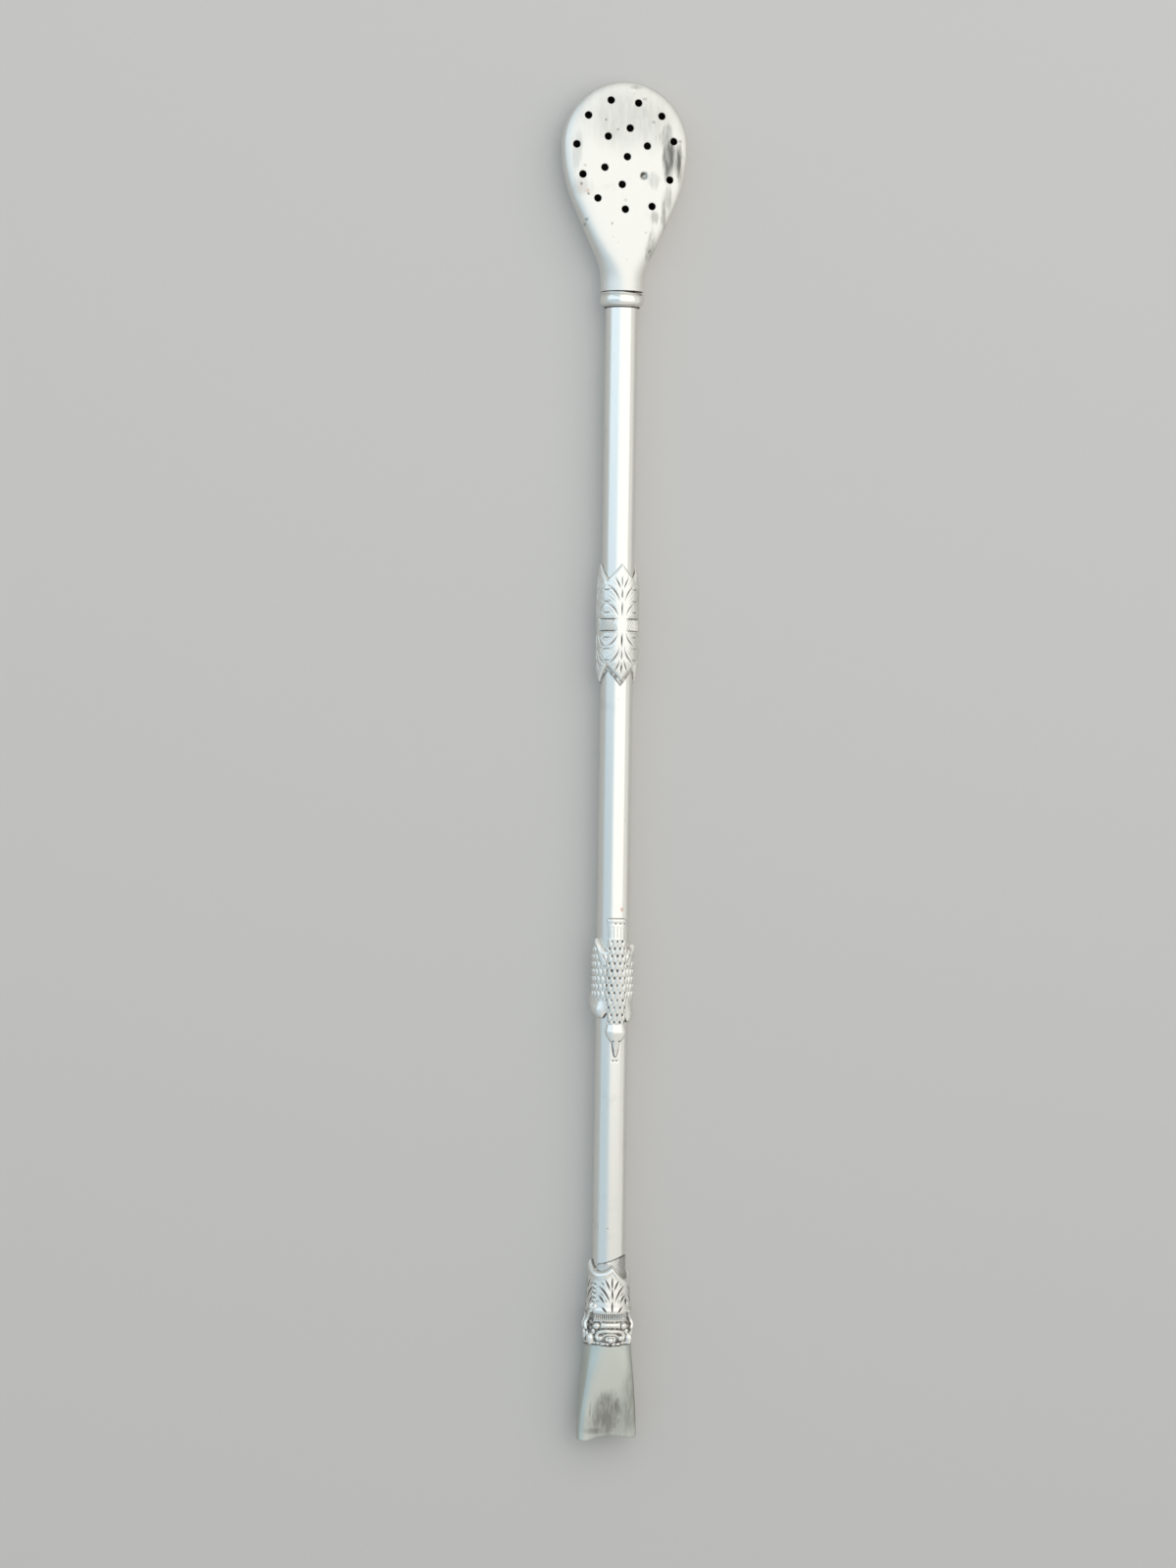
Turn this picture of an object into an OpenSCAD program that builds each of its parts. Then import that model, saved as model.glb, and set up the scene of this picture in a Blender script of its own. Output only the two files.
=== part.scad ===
// Bombilla: a metal straw for mate, with a perforated spoon strainer that screws onto the stem.
// Millimetres. Every piece is drawn standing on the mouth end with its front to -Y. It is then
// laid on its back, so the strainer points to +Y, the ornament faces +Z and the table is at z = 0.

/* [Stem] */
// Outside diameter of the stem tube
stem_od = 5.25; // [5:0.05:6]
// Wall of the stem tube
stem_wall = 0.5; // [0.4:0.05:0.6]
// Bare stem between the mouth collar and the beak of the bird
run_low = 33.2; // [8:0.1:60]
// Bare stem between the tail of the bird and the leaf sleeve
run_mid = 37.3; // [8:0.1:60]
// Bare stem between the leaf sleeve and the neck ring
run_high = 41.3; // [12:0.1:70]

/* [Strainer] */
// Width of the bowl at its widest place
bowl_w = 20.6; // [17:0.1:26]
// Height of the round end above the widest place
bowl_cap = 10.6; // [9:0.1:14]
// How far the front shell stands out from the seam
bowl_front = 2.5; // [2:0.1:4]
// How far the back shell stands out from the seam
bowl_back = 4.2; // [3:0.1:6]
// Angle between the straight flanks and the axis, in degrees
bowl_taper = 24.5; // [20:0.5:30]
// Radius of the flanks where they round out to the widest place
bowl_side_r = 23; // [14:0.5:28]
// Radius of the hollow curve between neck and flanks
neck_fillet_r = 9.4; // [5:0.1:13]
// Length of the straight neck
neck_l = 1.5; // [1:0.1:5]
// Outside diameter of the neck
neck_od = 7; // [6.8:0.1:8]
// Thickness of the neck round the threaded bush
neck_wall = 0.55; // [0.45:0.05:0.6]
// Thickness of the two shells
shell_wall = 0.8; // [0.75:0.05:1]
// Diameter of the strainer holes
hole_d = 1.25; // [0.8:0.05:1.5]

/* [Screw joint] */
// Outside diameter of the thread on the nipple
thread_od = 4.6; // [4.4:0.05:4.8]
// Length of the thread
thread_l = 5; // [3:0.5:5]
// Length of the nipple that is soldered inside the stem
nipple_tail = 6; // [3:0.5:10]
// Bore of the nipple
nipple_bore = 3.3; // [2.8:0.1:3.4]
// Outside diameter of the neck ring
ring_od = 7.2; // [7:0.1:8.4]
// Length of the neck ring
ring_l = 2.5; // [1.8:0.1:3]

/* [Leaf sleeve] */
// Length of the leaf sleeve between its leaf tips
leaf_l = 20.2; // [14:0.1:30]
// Height of the leaves above the stem
leaf_t = 0.85; // [0.6:0.05:1.4]
// Depth of the notches between the leaves
leaf_notch = 2.7; // [1.5:0.1:4]
// Width of the roped band round the middle
leaf_band = 2.1; // [1:0.1:4]

/* [Bird sleeve] */
// Length of the bird from beak to tail
bird_l = 22.5; // [18:0.1:30]
// Height of the wings above the stem
wing_t = 0.65; // [0.5:0.05:1.2]
// Height of the head above the stem
head_t = 1.4; // [1.2:0.05:2]
// Half width of the head
head_w = 1.6; // [1.2:0.05:2]

/* [Mouth collar] */
// Length of the collar from its lower edge to the leaf tips
collar_l = 13.2; // [11:0.1:18]
// Height of the collar's leaf tips above the stem
collar_tip_t = 0.6; // [0.4:0.05:1]
// Height of the scroll band above the mouthpiece socket
collar_t = 0.9; // [0.7:0.05:1.4]
// Depth of the notches between the collar's leaves
collar_notch = 2.1; // [1:0.1:3]

/* [Mouthpiece] */
// Length of the mouthpiece below the collar
mouth_l = 15.6; // [10:0.1:22]
// Width of the mouthpiece at its end
mouth_w = 9.7; // [8.4:0.1:13]
// Thickness of the mouthpiece at its end
mouth_t = 2.9; // [2.4:0.1:4.5]
// Wall of the mouthpiece
mouth_wall = 0.6; // [0.4:0.05:0.75]
// Wall of the socket that takes the stem
socket_wall = 0.6; // [0.4:0.05:1]
// Length of the socket inside the collar
socket_l = 6; // [3:0.1:7]
// Depth of the hollow in the end, for the lips
lip_notch = 0.9; // [0.3:0.1:1.5]

/* [Fits] */
// Solder gap round fixed pieces, on the radius
solder_gap = 0.02; // [0.01:0.01:0.04]
// Running clearance of the thread, on the radius
thread_gap = 0.05; // [0.02:0.01:0.1]
// Open seam between the neck and its ring
seat_gap = 0.15; // [0.05:0.05:0.3]

/* [Hidden] */
$fn = 64;

SILVER = [0.80, 0.80, 0.77];
PALE_SILVER = [0.87, 0.86, 0.82];
BRASS = [0.76, 0.65, 0.38];

// Step from the collar's widest place in to its lower edge
EDGE_STEP = 0.3;

// Radii of the stem and of everything that fits on it or in it
stem_r = stem_od / 2;
stem_ir = stem_r - stem_wall;
seat_r = stem_r + solder_gap;
neck_r = neck_od / 2;
bowl_r = bowl_w / 2;
bush_seat_r = neck_r - neck_wall;
thread_r = thread_od / 2;
socket_r = seat_r + socket_wall;
collar_bore_r = socket_r + solder_gap;
collar_r = collar_bore_r + collar_t;
edge_r = collar_r - EDGE_STEP;

// Stations up the straw, from the mouth end
collar_z = mouth_l;
beak_z = collar_z + collar_l + run_low;
leaf_z = beak_z + bird_l + run_mid;
ring_z = leaf_z + leaf_l + run_high;
ring_top = ring_z + ring_l;
neck_z = ring_top + seat_gap;

// Bowl outline: straight neck, hollow curve, straight flank, full curve, round end
curve_drop = 1 - cos(bowl_taper);
flank_l = (bowl_r - neck_r - (neck_fillet_r + bowl_side_r) * curve_drop) / sin(bowl_taper);
fillet_top = neck_l + neck_fillet_r * sin(bowl_taper);
flank_top = fillet_top + flank_l * cos(bowl_taper);
wide_u = flank_top + bowl_side_r * sin(bowl_taper);
strainer_l = wide_u + bowl_cap;
length = neck_z + strainer_l;

// Height of the axis above the table: the straw rests on the bowl's back and on the collar
axis_h = max(bowl_back, collar_r);

// Roundness of the shells' sections: 2 is an ellipse, more is flatter with a fuller rim
NECK_POWER = 2;
FRONT_POWER = 3.2;
BACK_POWER = 2.3;
FLANK_ROWS = 16;
CAP_ROWS = 8;
SHELL_COLS = 20;

// Holes drilled by eye, as shares of the bowl's half width, from the middle hole: a centre hole,
// six round it and eleven along the rim
HOLES = [[0, 0],
         [0.04, 0.45], [-0.31, 0.31], [0.32, 0.18], [-0.36, -0.18], [0.27, -0.29], [-0.08, -0.44],
         [-0.27, 0.88], [0.17, 0.85], [0.55, 0.66], [0.75, 0.27], [0.69, -0.34], [0.40, -0.77],
         [-0.03, -0.83], [-0.47, -0.67], [-0.71, -0.30], [-0.81, 0.17], [-0.63, 0.63]];
// The middle hole lies this far below the tip, as a share of the half width
HOLE_CENTRE = 1.2;

LEAVES = 4;
LEAF_STEP = 360 / LEAVES;
// Steps along a notch's side, and how much that side bows
NOTCH_STEPS = 5;
NOTCH_BOW = 1.3;
// Share of the way to a leaf's tip that a notch reaches, which leaves the tip blunt
LEAF_REACH = 0.95;
// More than any radius here, for cutters
CUT = 8;

function smooth(t) = let (c = min(max(t, 0), 1)) c * c * (3 - 2 * c);
function mix(a, b, t) = a + (b - a) * t;

// Smooth curve through hand-set knots [place, value]
function span(x, p, i = 0) = i < len(p) - 2 && x > p[i + 1][0] ? span(x, p, i + 1) : i;
function slope(p, i) = let (a = p[max(i - 1, 0)], b = p[min(i + 1, len(p) - 1)]) (b[1] - a[1]) / (b[0] - a[0]);
function curve(x, p) =
    let (i = span(x, p), h = p[i + 1][0] - p[i][0], t = (x - p[i][0]) / h, s = smooth(t), r = 1 - t)
    mix(p[i][1], p[i + 1][1], s) + h * (slope(p, i) * t * r * r - slope(p, i + 1) * t * t * r);

// Two triangles for the four-sided cell a, b, c, d
function cell(a, b, c, d) = [[a, b, c], [a, c, d]];

// Half width of the bowl at a height above the foot of the neck, for a wall cut off it
function half_width(u, off) =
    u <= neck_l ? neck_r - off
    : u <= fillet_top ? neck_r + neck_fillet_r - sqrt(pow(neck_fillet_r, 2) - pow(u - neck_l, 2)) - off
    : u <= flank_top ? neck_r + neck_fillet_r * curve_drop + (u - fillet_top) * tan(bowl_taper) - off
    : bowl_r - bowl_side_r + sqrt(pow(bowl_side_r, 2) - pow(min(wide_u - u, bowl_side_r), 2)) - off;

// One arc across a shell: from rim to rim over the front (side -1) or the back (side 1)
function shell_arc(u, e, depth, power, side, off) =
    let (w = half_width(min(u, wide_u), off),
         t = smooth((u - neck_l) / (wide_u - neck_l)),
         d = mix(neck_r, depth, t) - off,
         m = mix(NECK_POWER, power, t),
         z = u + (bowl_cap - off) * e)
    [for (j = [0:SHELL_COLS])
        let (a = 180 * j / SHELL_COLS,
             q = j % SHELL_COLS == 0 ? 1 : sqrt(pow(cos(a), 2) * (1 - e * e) + e * e))
        [w * sqrt(1 - e * e) * cos(a), side * d * pow(max(0, 1 - pow(q, m)), 1 / m), z]];

function shell_arcs(depth, power, side, off) =
    [each shell_arc(0, 0, depth, power, side, off),
     for (k = [0:FLANK_ROWS]) each shell_arc(mix(neck_l, wide_u, k / FLANK_ROWS), 0, depth, power, side, off),
     for (k = [1:CAP_ROWS - 1]) each shell_arc(wide_u, sin(90 * k / CAP_ROWS), depth, power, side, off)];

// Half of the bowl as a shell of even thickness, open at the neck and closed at the tip
module half_shell(depth, power, side) {
    rows = FLANK_ROWS + CAP_ROWS + 1;
    cols = SHELL_COLS + 1;
    inner = rows * cols;
    tip_out = 2 * inner;
    tip_in = tip_out + 1;
    last = (rows - 1) * cols;
    points = concat(shell_arcs(depth, power, side, 0), shell_arcs(depth, power, side, shell_wall),
                    [[0, 0, strainer_l], [0, 0, strainer_l - shell_wall]]);
    faces = [
        for (i = [0:rows - 2]) for (j = [0:cols - 2]) let (k = i * cols + j)
            each concat(cell(k, k + 1, k + cols + 1, k + cols),
                        cell(inner + k, inner + k + cols, inner + k + cols + 1, inner + k + 1)),
        for (j = [0:cols - 2])
            each [[last + j, last + j + 1, tip_out], [inner + last + j, tip_in, inner + last + j + 1]],
        for (i = [0:rows - 2]) let (k = i * cols, n = k + cols - 1)
            each concat(cell(k, k + cols, inner + k + cols, inner + k),
                        cell(n, inner + n, inner + n + cols, n + cols)),
        each cell(last, tip_out, tip_in, inner + last),
        each cell(last + cols - 1, inner + last + cols - 1, tip_in, tip_out),
        for (j = [0:cols - 2]) each cell(j, inner + j, inner + j + 1, j + 1)];
    polyhedron(points, side < 0 ? faces : [for (f = faces) [f[2], f[1], f[0]]]);
}

// Lays a standing piece on the table
module lay() {
    translate([0, 0, axis_h]) rotate([-90, 0, 0]) translate([0, 0, -length / 2]) children();
}

// Places children on the face at an angle round the axis, 0 being the front
module around(angle, r, z) {
    rotate([0, 0, angle]) translate([0, -r, z]) children();
}

// Cuts a flat outline outwards from the axis at an angle round it
module outward(angle, z) {
    rotate([0, 0, angle]) translate([0, 0, z]) rotate([90, 0, 0]) linear_extrude(CUT) children();
}

// Pointed notch between two leaves, from its foot at the origin: its sides bow into the notch
module notch(half_w, depth) {
    side = [for (k = [0:NOTCH_STEPS]) let (t = k / NOTCH_STEPS) [half_w * pow(t, NOTCH_BOW), depth * t]];
    polygon(concat(side, [[half_w, depth + CUT], [-half_w, depth + CUT]],
                   [for (k = [NOTCH_STEPS:-1:1]) [-side[k][0], side[k][1]]]));
}

// Cuts the notches one after another, so that pointed leaf tips are left at z
module leaf_tips(r, tip_z, depth, count = LEAVES) {
    difference() {
        if (count > 1) {
            leaf_tips(r, tip_z, depth, count - 1) children();
        } else {
            children();
        }
        outward((count - 0.5) * LEAF_STEP, tip_z - depth) notch(LEAF_REACH * r * sin(LEAF_STEP / 2), depth);
    }
}

// Round hole along the axis
module bore(r, z0, z1) {
    translate([0, 0, z0]) cylinder(r = r, h = z1 - z0);
}

module shell_cuts() {
    bore(bush_seat_r, -1, thread_l + seat_gap + solder_gap);
    for (p = HOLES) {
        translate([p[0] * bowl_r, 0, strainer_l - HOLE_CENTRE * bowl_r + p[1] * bowl_r])
            rotate([90, 0, 0]) cylinder(d = hole_d, h = 2 * CUT, center = true);
    }
}

module strainer_front() {
    color(PALE_SILVER) lay() translate([0, 0, neck_z]) difference() {
        half_shell(bowl_front, FRONT_POWER, -1);
        shell_cuts();
    }
}

module strainer_back() {
    color(PALE_SILVER) lay() translate([0, 0, neck_z]) difference() {
        half_shell(bowl_back, BACK_POWER, 1);
        shell_cuts();
    }
}

// Threaded bush inside the neck, drawn with its thread as a plain bore
module neck_bush() {
    color(BRASS) lay() difference() {
        bore(bush_seat_r - solder_gap, neck_z, neck_z + thread_l + seat_gap);
        bore(thread_r + thread_gap, neck_z - 1, neck_z + thread_l + CUT);
    }
}

// Threaded nipple in the end of the stem, drawn with its thread as a plain spigot
module stem_nipple() {
    color(BRASS) lay() difference() {
        union() {
            bore(stem_ir - solder_gap, ring_top - nipple_tail, ring_top + thread_l / 2);
            bore(thread_r, ring_top + solder_gap, ring_top + thread_l);
        }
        bore(nipple_bore / 2, ring_top - nipple_tail - 1, ring_top + thread_l + 1);
    }
}

// Radius of the ring's bead as a share of its length
BEAD_SHARE = 0.64;

// Bead that the neck screws down to
module neck_ring() {
    bead_r = BEAD_SHARE * ring_l;
    bead_x = ring_od / 2 - bead_r;
    color(SILVER) lay() translate([0, 0, ring_z]) rotate_extrude() intersection() {
        translate([seat_r, 0]) square([ring_od / 2, ring_l]);
        union() {
            translate([bead_x, ring_l / 2]) circle(bead_r);
            square([bead_x, ring_l]);
        }
    }
}

module stem_tube() {
    color(SILVER) lay() difference() {
        bore(stem_r, collar_z, ring_top);
        bore(stem_ir, collar_z - 1, ring_top + 1);
    }
}

// Depths on the leaf sleeve as shares of the leaves' height: band, grooves, the leaves' fall and their tips
BAND_SINK = 0.15;
GROOVE_SINK = 0.3;
LEAF_FALL = 0.12;
TIP_SINK = 0.5;
// Where the leaves start to fall and where they fall steeply, as shares of half the sleeve
FALL_AT = 0.55;
STEEP_AT = 0.75;

// Sleeve of leaves that point both ways from a roped band
module leaf_sleeve() {
    half = leaf_l / 2;
    band = leaf_band / 2;
    groove = leaf_band / 5;
    top_r = stem_r + leaf_t;
    groove_r = top_r - GROOVE_SINK * leaf_t;
    // Outer profile of the upper half, from the band to the leaf tips
    profile = [[top_r - BAND_SINK * leaf_t, band - groove / 2], [groove_r, band], [groove_r, band + groove],
               [top_r, band + 1.5 * groove], [top_r, FALL_AT * half],
               [top_r - LEAF_FALL * leaf_t, STEEP_AT * half], [top_r - TIP_SINK * leaf_t, half]];
    color(PALE_SILVER) lay() translate([0, 0, leaf_z + half])
        leaf_tips(top_r, half, leaf_notch) mirror([0, 0, 1]) leaf_tips(top_r, half, leaf_notch)
        rotate_extrude() polygon(concat(
            [[seat_r, -half]], [for (k = [len(profile) - 1:-1:0]) [profile[k][0], -profile[k][1]]],
            profile, [[seat_r, half]]));
}

// Half width and rise of the bird above the stem, along its length from beak to tail
BIRD_W = [[0, 0.12], [0.10, 0.42], [0.125, 0.66], [0.185, 1], [0.25, 0.95], [0.30, 0.95], [0.42, 1.1],
          [0.62, 1.1], [0.76, 0.97], [0.86, 0.92], [0.96, 1.06], [1, 0.85]];
BIRD_T = [[0, 0.25], [0.10, 0.5], [0.13, 0.75], [0.19, 1], [0.25, 0.86], [0.30, 0.72], [0.45, 0.8],
          [0.62, 0.72], [0.78, 0.5], [0.92, 0.36], [1, 0.3]];
BIRD_ROWS = 36;
BIRD_COLS = 12;
BIRD_POWER = 2.4;
// Depth of the bird's underside below the stem's face before the bore is cut
BIRD_SINK = 0.4;
// Height of the bird's edge above the stem
BIRD_EDGE = 0.14;

// Rise of a full round across the bird, at a place from -1 to 1
function swell(q) = pow(max(0, 1 - pow(abs(q), BIRD_POWER)), 1 / BIRD_POWER);

function bird_loop(f) =
    let (w = head_w * curve(f, BIRD_W), t = head_t * curve(f, BIRD_T), a = w / stem_r * 180 / PI,
         across = [for (j = [0:BIRD_COLS]) 2 * j / BIRD_COLS - 1],
         tops = [for (q = across) [a * q, stem_r + mix(BIRD_EDGE, t, swell(q))]],
         feet = [for (q = across) [-a * q, stem_r - BIRD_SINK]])
    [for (p = concat(tops, feet)) [p[1] * sin(p[0]), -p[1] * cos(p[0]), beak_z + f * bird_l]];

// Head, body and tail as one loft along the stem
module bird_body() {
    n = 2 * (BIRD_COLS + 1);
    points = [for (i = [0:BIRD_ROWS]) each bird_loop(i / BIRD_ROWS)];
    faces = [
        for (i = [0:BIRD_ROWS - 1]) for (j = [0:n - 1])
            each cell(i * n + j, (i + 1) * n + j, (i + 1) * n + (j + 1) % n, i * n + (j + 1) % n),
        [for (j = [0:n - 1]) j],
        [for (j = [n - 1:-1:0]) BIRD_ROWS * n + j]];
    polyhedron(points, faces);
}

// Places on the wings as shares of the bird's length: shoulders, rear edge at the back, fork, tips
SHOULDER_AT = 0.285;
WING_BACK_AT = 0.55;
WING_FORK_AT = 0.815;
WING_TIP_AT = 0.865;
// Rounding of the shoulders, and how far they stand out past the wings
SHOULDER_R = 0.9;
SHOULDER_OUT = 0.1;
// V between tail and wing tip: its place round the stem and its half width
WING_V_ANGLE = 46;
WING_V_W = 1.1;
// Half width of the tail's cut between the wings
TAIL_CUT_W = 1.5;
// Where the rear edge starts to slope, as a share of the wings' radius towards the front
WING_SLOPE_FROM = 0.4;

// Wings as a tube with rounded shoulders
module wing_tube(shoulder_z, tip_z) {
    straight_z = shoulder_z + SHOULDER_R;
    rotate_extrude() {
        translate([stem_r - BIRD_SINK, straight_z]) square([wing_t + BIRD_SINK, tip_z - straight_z]);
        intersection() {
            translate([stem_r + wing_t + SHOULDER_OUT - SHOULDER_R, straight_z]) circle(SHOULDER_R);
            translate([stem_r - BIRD_SINK, shoulder_z]) square(CUT);
        }
    }
}

// Bird whose wings wrap the stem, with a free tip on each side of the tail
module bird_sleeve() {
    tip_z = beak_z + WING_TIP_AT * bird_l;
    fork_z = beak_z + WING_FORK_AT * bird_l;
    back_z = beak_z + WING_BACK_AT * bird_l;
    slope_y = -WING_SLOPE_FROM * (stem_r + wing_t);
    v_l = 2 * (tip_z - fork_z);
    color(PALE_SILVER) lay() difference() {
        union() {
            difference() {
                wing_tube(beak_z + SHOULDER_AT * bird_l, tip_z);
                // Slope of the wings' rear edge round the back
                rotate([90, 0, 90]) translate([0, 0, -CUT]) linear_extrude(2 * CUT)
                    polygon([[slope_y, tip_z], [CUT, 2 * back_z - tip_z], [CUT, tip_z + 1], [slope_y, tip_z + 1]]);
                // Free tips beside the tail
                for (side = [-1, 1]) {
                    outward(side * WING_V_ANGLE, tip_z - v_l)
                        polygon([[0, 0], [WING_V_W, v_l + 1], [-WING_V_W, v_l + 1]]);
                }
                outward(0, fork_z) translate([-TAIL_CUT_W, 0]) square([2 * TAIL_CUT_W, CUT]);
            }
            bird_body();
        }
        bore(seat_r, beak_z - 1, beak_z + bird_l + 1);
    }
}

// Places up the collar as shares of its length: top of the scroll band and top of the flutes
BAND_AT = 0.3;
FLUTES_AT = 0.43;
// Steps of the collar's profile, and its rolled lower edge
COLLAR_STEP = 0.2;
EDGE_H = 1;
// Buds between the scrolls, and how far they stand out as a share of their radius
BUD_R = 0.95;
BUD_OUT = 0.3;
BUD_TOP = 0.75;
// Scrolls on the four sides: radius of the bow and of its section
SCROLL_R = 1.35;
SCROLL_T = 0.32;

// Collar over the joint of stem and mouthpiece: scroll band, fluted band and a crown of leaves
module mouth_collar() {
    tip_r = stem_r + collar_tip_t;
    band_top = BAND_AT * collar_l;
    flute_top = FLUTES_AT * collar_l;
    leaf_r = collar_r - COLLAR_STEP;
    bud_x = collar_r - (1 - BUD_OUT) * BUD_R;
    // Outer profile from the lower edge to the leaf tips
    profile = [[edge_r, 0], [leaf_r, EDGE_H / 2], [edge_r, EDGE_H], [leaf_r, EDGE_H + COLLAR_STEP],
               [collar_r - COLLAR_STEP / 2, band_top], [edge_r, band_top + COLLAR_STEP / 2],
               [edge_r, flute_top], [leaf_r, flute_top + COLLAR_STEP],
               [mix(leaf_r, tip_r, 0.4), mix(flute_top, collar_l, 0.5)], [tip_r, collar_l]];
    color(SILVER) lay() translate([0, 0, collar_z + solder_gap]) difference() {
        union() {
            leaf_tips(tip_r, collar_l, collar_notch)
                rotate_extrude() polygon(concat([[0, 0]], profile, [[0, collar_l]]));
            for (k = [0:LEAVES - 1]) {
                around((k + 0.5) * LEAF_STEP, bud_x, BUD_R) sphere(BUD_R);
                around((k + 0.5) * LEAF_STEP, bud_x, 2 * BUD_R) sphere(BUD_TOP * BUD_R);
                around(k * LEAF_STEP, collar_r - SCROLL_T, 1.5 * EDGE_H) rotate([90, 0, 0])
                    rotate_extrude(angle = 180) translate([SCROLL_R, 0]) circle(SCROLL_T);
            }
        }
        bore(collar_bore_r, -1, socket_l + solder_gap);
        bore(seat_r, -1, collar_l + 1);
    }
}

// Roundness of the mouthpiece's end: 2 is an ellipse, more is squarer
MOUTH_POWER = 2.8;
MOUTH_ROWS = 14;
MOUTH_COLS = 40;
// How much closer the rows lie to the end
ROW_POWER = 1.4;
// Rounding of the end's corners
MOUTH_CORNER = 0.7;
// How much flatter than wide the mouthpiece is under the collar, on the radius
MOUTH_FLAT = 0.4;
// Room inside the mouthpiece round the end of the stem
BORE_ROOM = 0.1;
// Half width of the hollow for the lips, as a share of the end's width
LIP_SPAN = 0.36;

function mouth_loop(z, end_w, end_t, top_w, top_t) =
    let (t = smooth(z / mouth_l), c = max(0, MOUTH_CORNER - z),
         trim = MOUTH_CORNER - sqrt(pow(MOUTH_CORNER, 2) - c * c),
         w = mix(end_w, top_w, t) - trim, d = mix(end_t, top_t, t), m = 2 / mix(MOUTH_POWER, 2, t))
    [for (j = [0:MOUTH_COLS - 1]) let (a = 360 * j / MOUTH_COLS)
        [w * sign(cos(a)) * pow(abs(cos(a)), m), d * sign(sin(a)) * pow(abs(sin(a)), m), z]];

// Flared shell that flattens from the round joint to the lips
module mouth_shell() {
    w = mouth_w / 2;
    t = mouth_t / 2;
    bore_top = seat_r + BORE_ROOM;
    n = MOUTH_COLS;
    inner = (MOUTH_ROWS + 1) * n;
    zs = [for (i = [0:MOUTH_ROWS]) mouth_l * pow(i / MOUTH_ROWS, ROW_POWER)];
    points = concat(
        [for (z = zs) each mouth_loop(z, w, t, edge_r, edge_r - MOUTH_FLAT)],
        [for (z = zs) each mouth_loop(z, w - mouth_wall, t - mouth_wall, bore_top, bore_top)]);
    faces = [
        for (i = [0:MOUTH_ROWS - 1]) for (j = [0:n - 1]) let (a = i * n + j, b = i * n + (j + 1) % n)
            each concat(cell(a, a + n, b + n, b), cell(inner + a, inner + b, inner + b + n, inner + a + n)),
        for (j = [0:n - 1]) let (b = (j + 1) % n, top = MOUTH_ROWS * n)
            each concat(cell(j, b, inner + b, inner + j),
                        cell(top + b, top + j, inner + top + j, inner + top + b))];
    polyhedron(points, faces);
}

module mouthpiece() {
    lip_r = (pow(LIP_SPAN * mouth_w, 2) + pow(lip_notch, 2)) / (2 * lip_notch);
    color(SILVER) lay() difference() {
        union() {
            mouth_shell();
            bore(socket_r, collar_z - mouth_wall, collar_z + socket_l);
        }
        bore(seat_r, collar_z - mouth_wall - 1, collar_z + socket_l + 1);
        // Hollow in the end for the lips
        translate([0, 0, lip_notch - lip_r]) rotate([90, 0, 0])
            cylinder(r = lip_r, h = 2 * CUT, center = true, $fn = 128);
    }
}

strainer_front();
strainer_back();
neck_bush();
stem_nipple();
neck_ring();
stem_tube();
leaf_sleeve();
bird_sleeve();
mouth_collar();
mouthpiece();
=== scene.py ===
"""Looks of a bombilla, a metal straw for mate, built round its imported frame.

Lengths in the classes are millimetres. Places along the straw are on the Y axis, from the mouth end at -Y
to the strainer at +Y. Angles round the straw run from its front, +Z, towards +X.
"""

import logging
import math
from dataclasses import dataclass, field
from enum import Enum

import bpy
import numpy as np
from mathutils import Matrix, Vector

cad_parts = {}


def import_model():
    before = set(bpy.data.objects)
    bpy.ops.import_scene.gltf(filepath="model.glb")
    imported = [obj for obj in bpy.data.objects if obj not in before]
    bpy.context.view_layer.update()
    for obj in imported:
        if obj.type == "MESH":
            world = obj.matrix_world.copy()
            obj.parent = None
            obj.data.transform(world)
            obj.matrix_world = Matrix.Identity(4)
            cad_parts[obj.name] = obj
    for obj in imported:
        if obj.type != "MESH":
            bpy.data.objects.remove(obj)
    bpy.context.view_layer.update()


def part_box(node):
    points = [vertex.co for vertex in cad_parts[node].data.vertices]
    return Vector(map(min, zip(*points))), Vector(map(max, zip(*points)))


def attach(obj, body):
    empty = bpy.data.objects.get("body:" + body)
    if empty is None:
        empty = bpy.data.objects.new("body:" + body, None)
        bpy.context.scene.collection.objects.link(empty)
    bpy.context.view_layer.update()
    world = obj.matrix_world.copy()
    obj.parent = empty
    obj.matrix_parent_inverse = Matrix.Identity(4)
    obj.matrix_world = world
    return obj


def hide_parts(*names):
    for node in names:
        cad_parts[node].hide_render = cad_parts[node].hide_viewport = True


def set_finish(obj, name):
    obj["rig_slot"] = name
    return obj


Array = np.ndarray
Knots = tuple[tuple[float, float], ...]
Triple = tuple[float, float, float]
Colour = tuple[float, float, float, float]
Piece = bpy.types.Object
Tree = bpy.types.NodeTree
Socket = bpy.types.NodeSocket
Sockets = dict[str, Socket]
MM = 0.001
FAR = 1e6
# Mark of how dark each point is painted: grime in cuts, joints and pits, and painted shade and shadow under
# edges, inside the bowl and in the blocked hole
DIRT_AND_SHADE_MARK = "cut"
# How dark the inner face of a ring is made
INNER_DARKNESS = 0.8
# Edges sharper than this, in degrees, stay sharp
SHARP_ANGLE = 42.0
WELD_GAP = 0.001
STROKE_POINTS = 11
# Width of a leaf's hair as a share of its vein's
HAIR_WIDTH = 0.7
LOG = logging.getLogger("bombilla")


class Body(Enum):
    """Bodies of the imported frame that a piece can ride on."""

    STEM = "stem"
    BUSH = "bush"
    STRAINER = "strainer"


class Slot(Enum):
    """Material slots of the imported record."""

    BOWL = "bowl_metal"
    STEM = "stem_metal"
    RELIEF = "relief_metal"
    MOUTH = "mouth_metal"
    THREAD = "thread_metal"


def smooth(t: Array) -> Array:
    """Step from 0 to 1 with level ends."""
    c = np.clip(t, 0.0, 1.0)
    return c * c * (3.0 - 2.0 * c)


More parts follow.
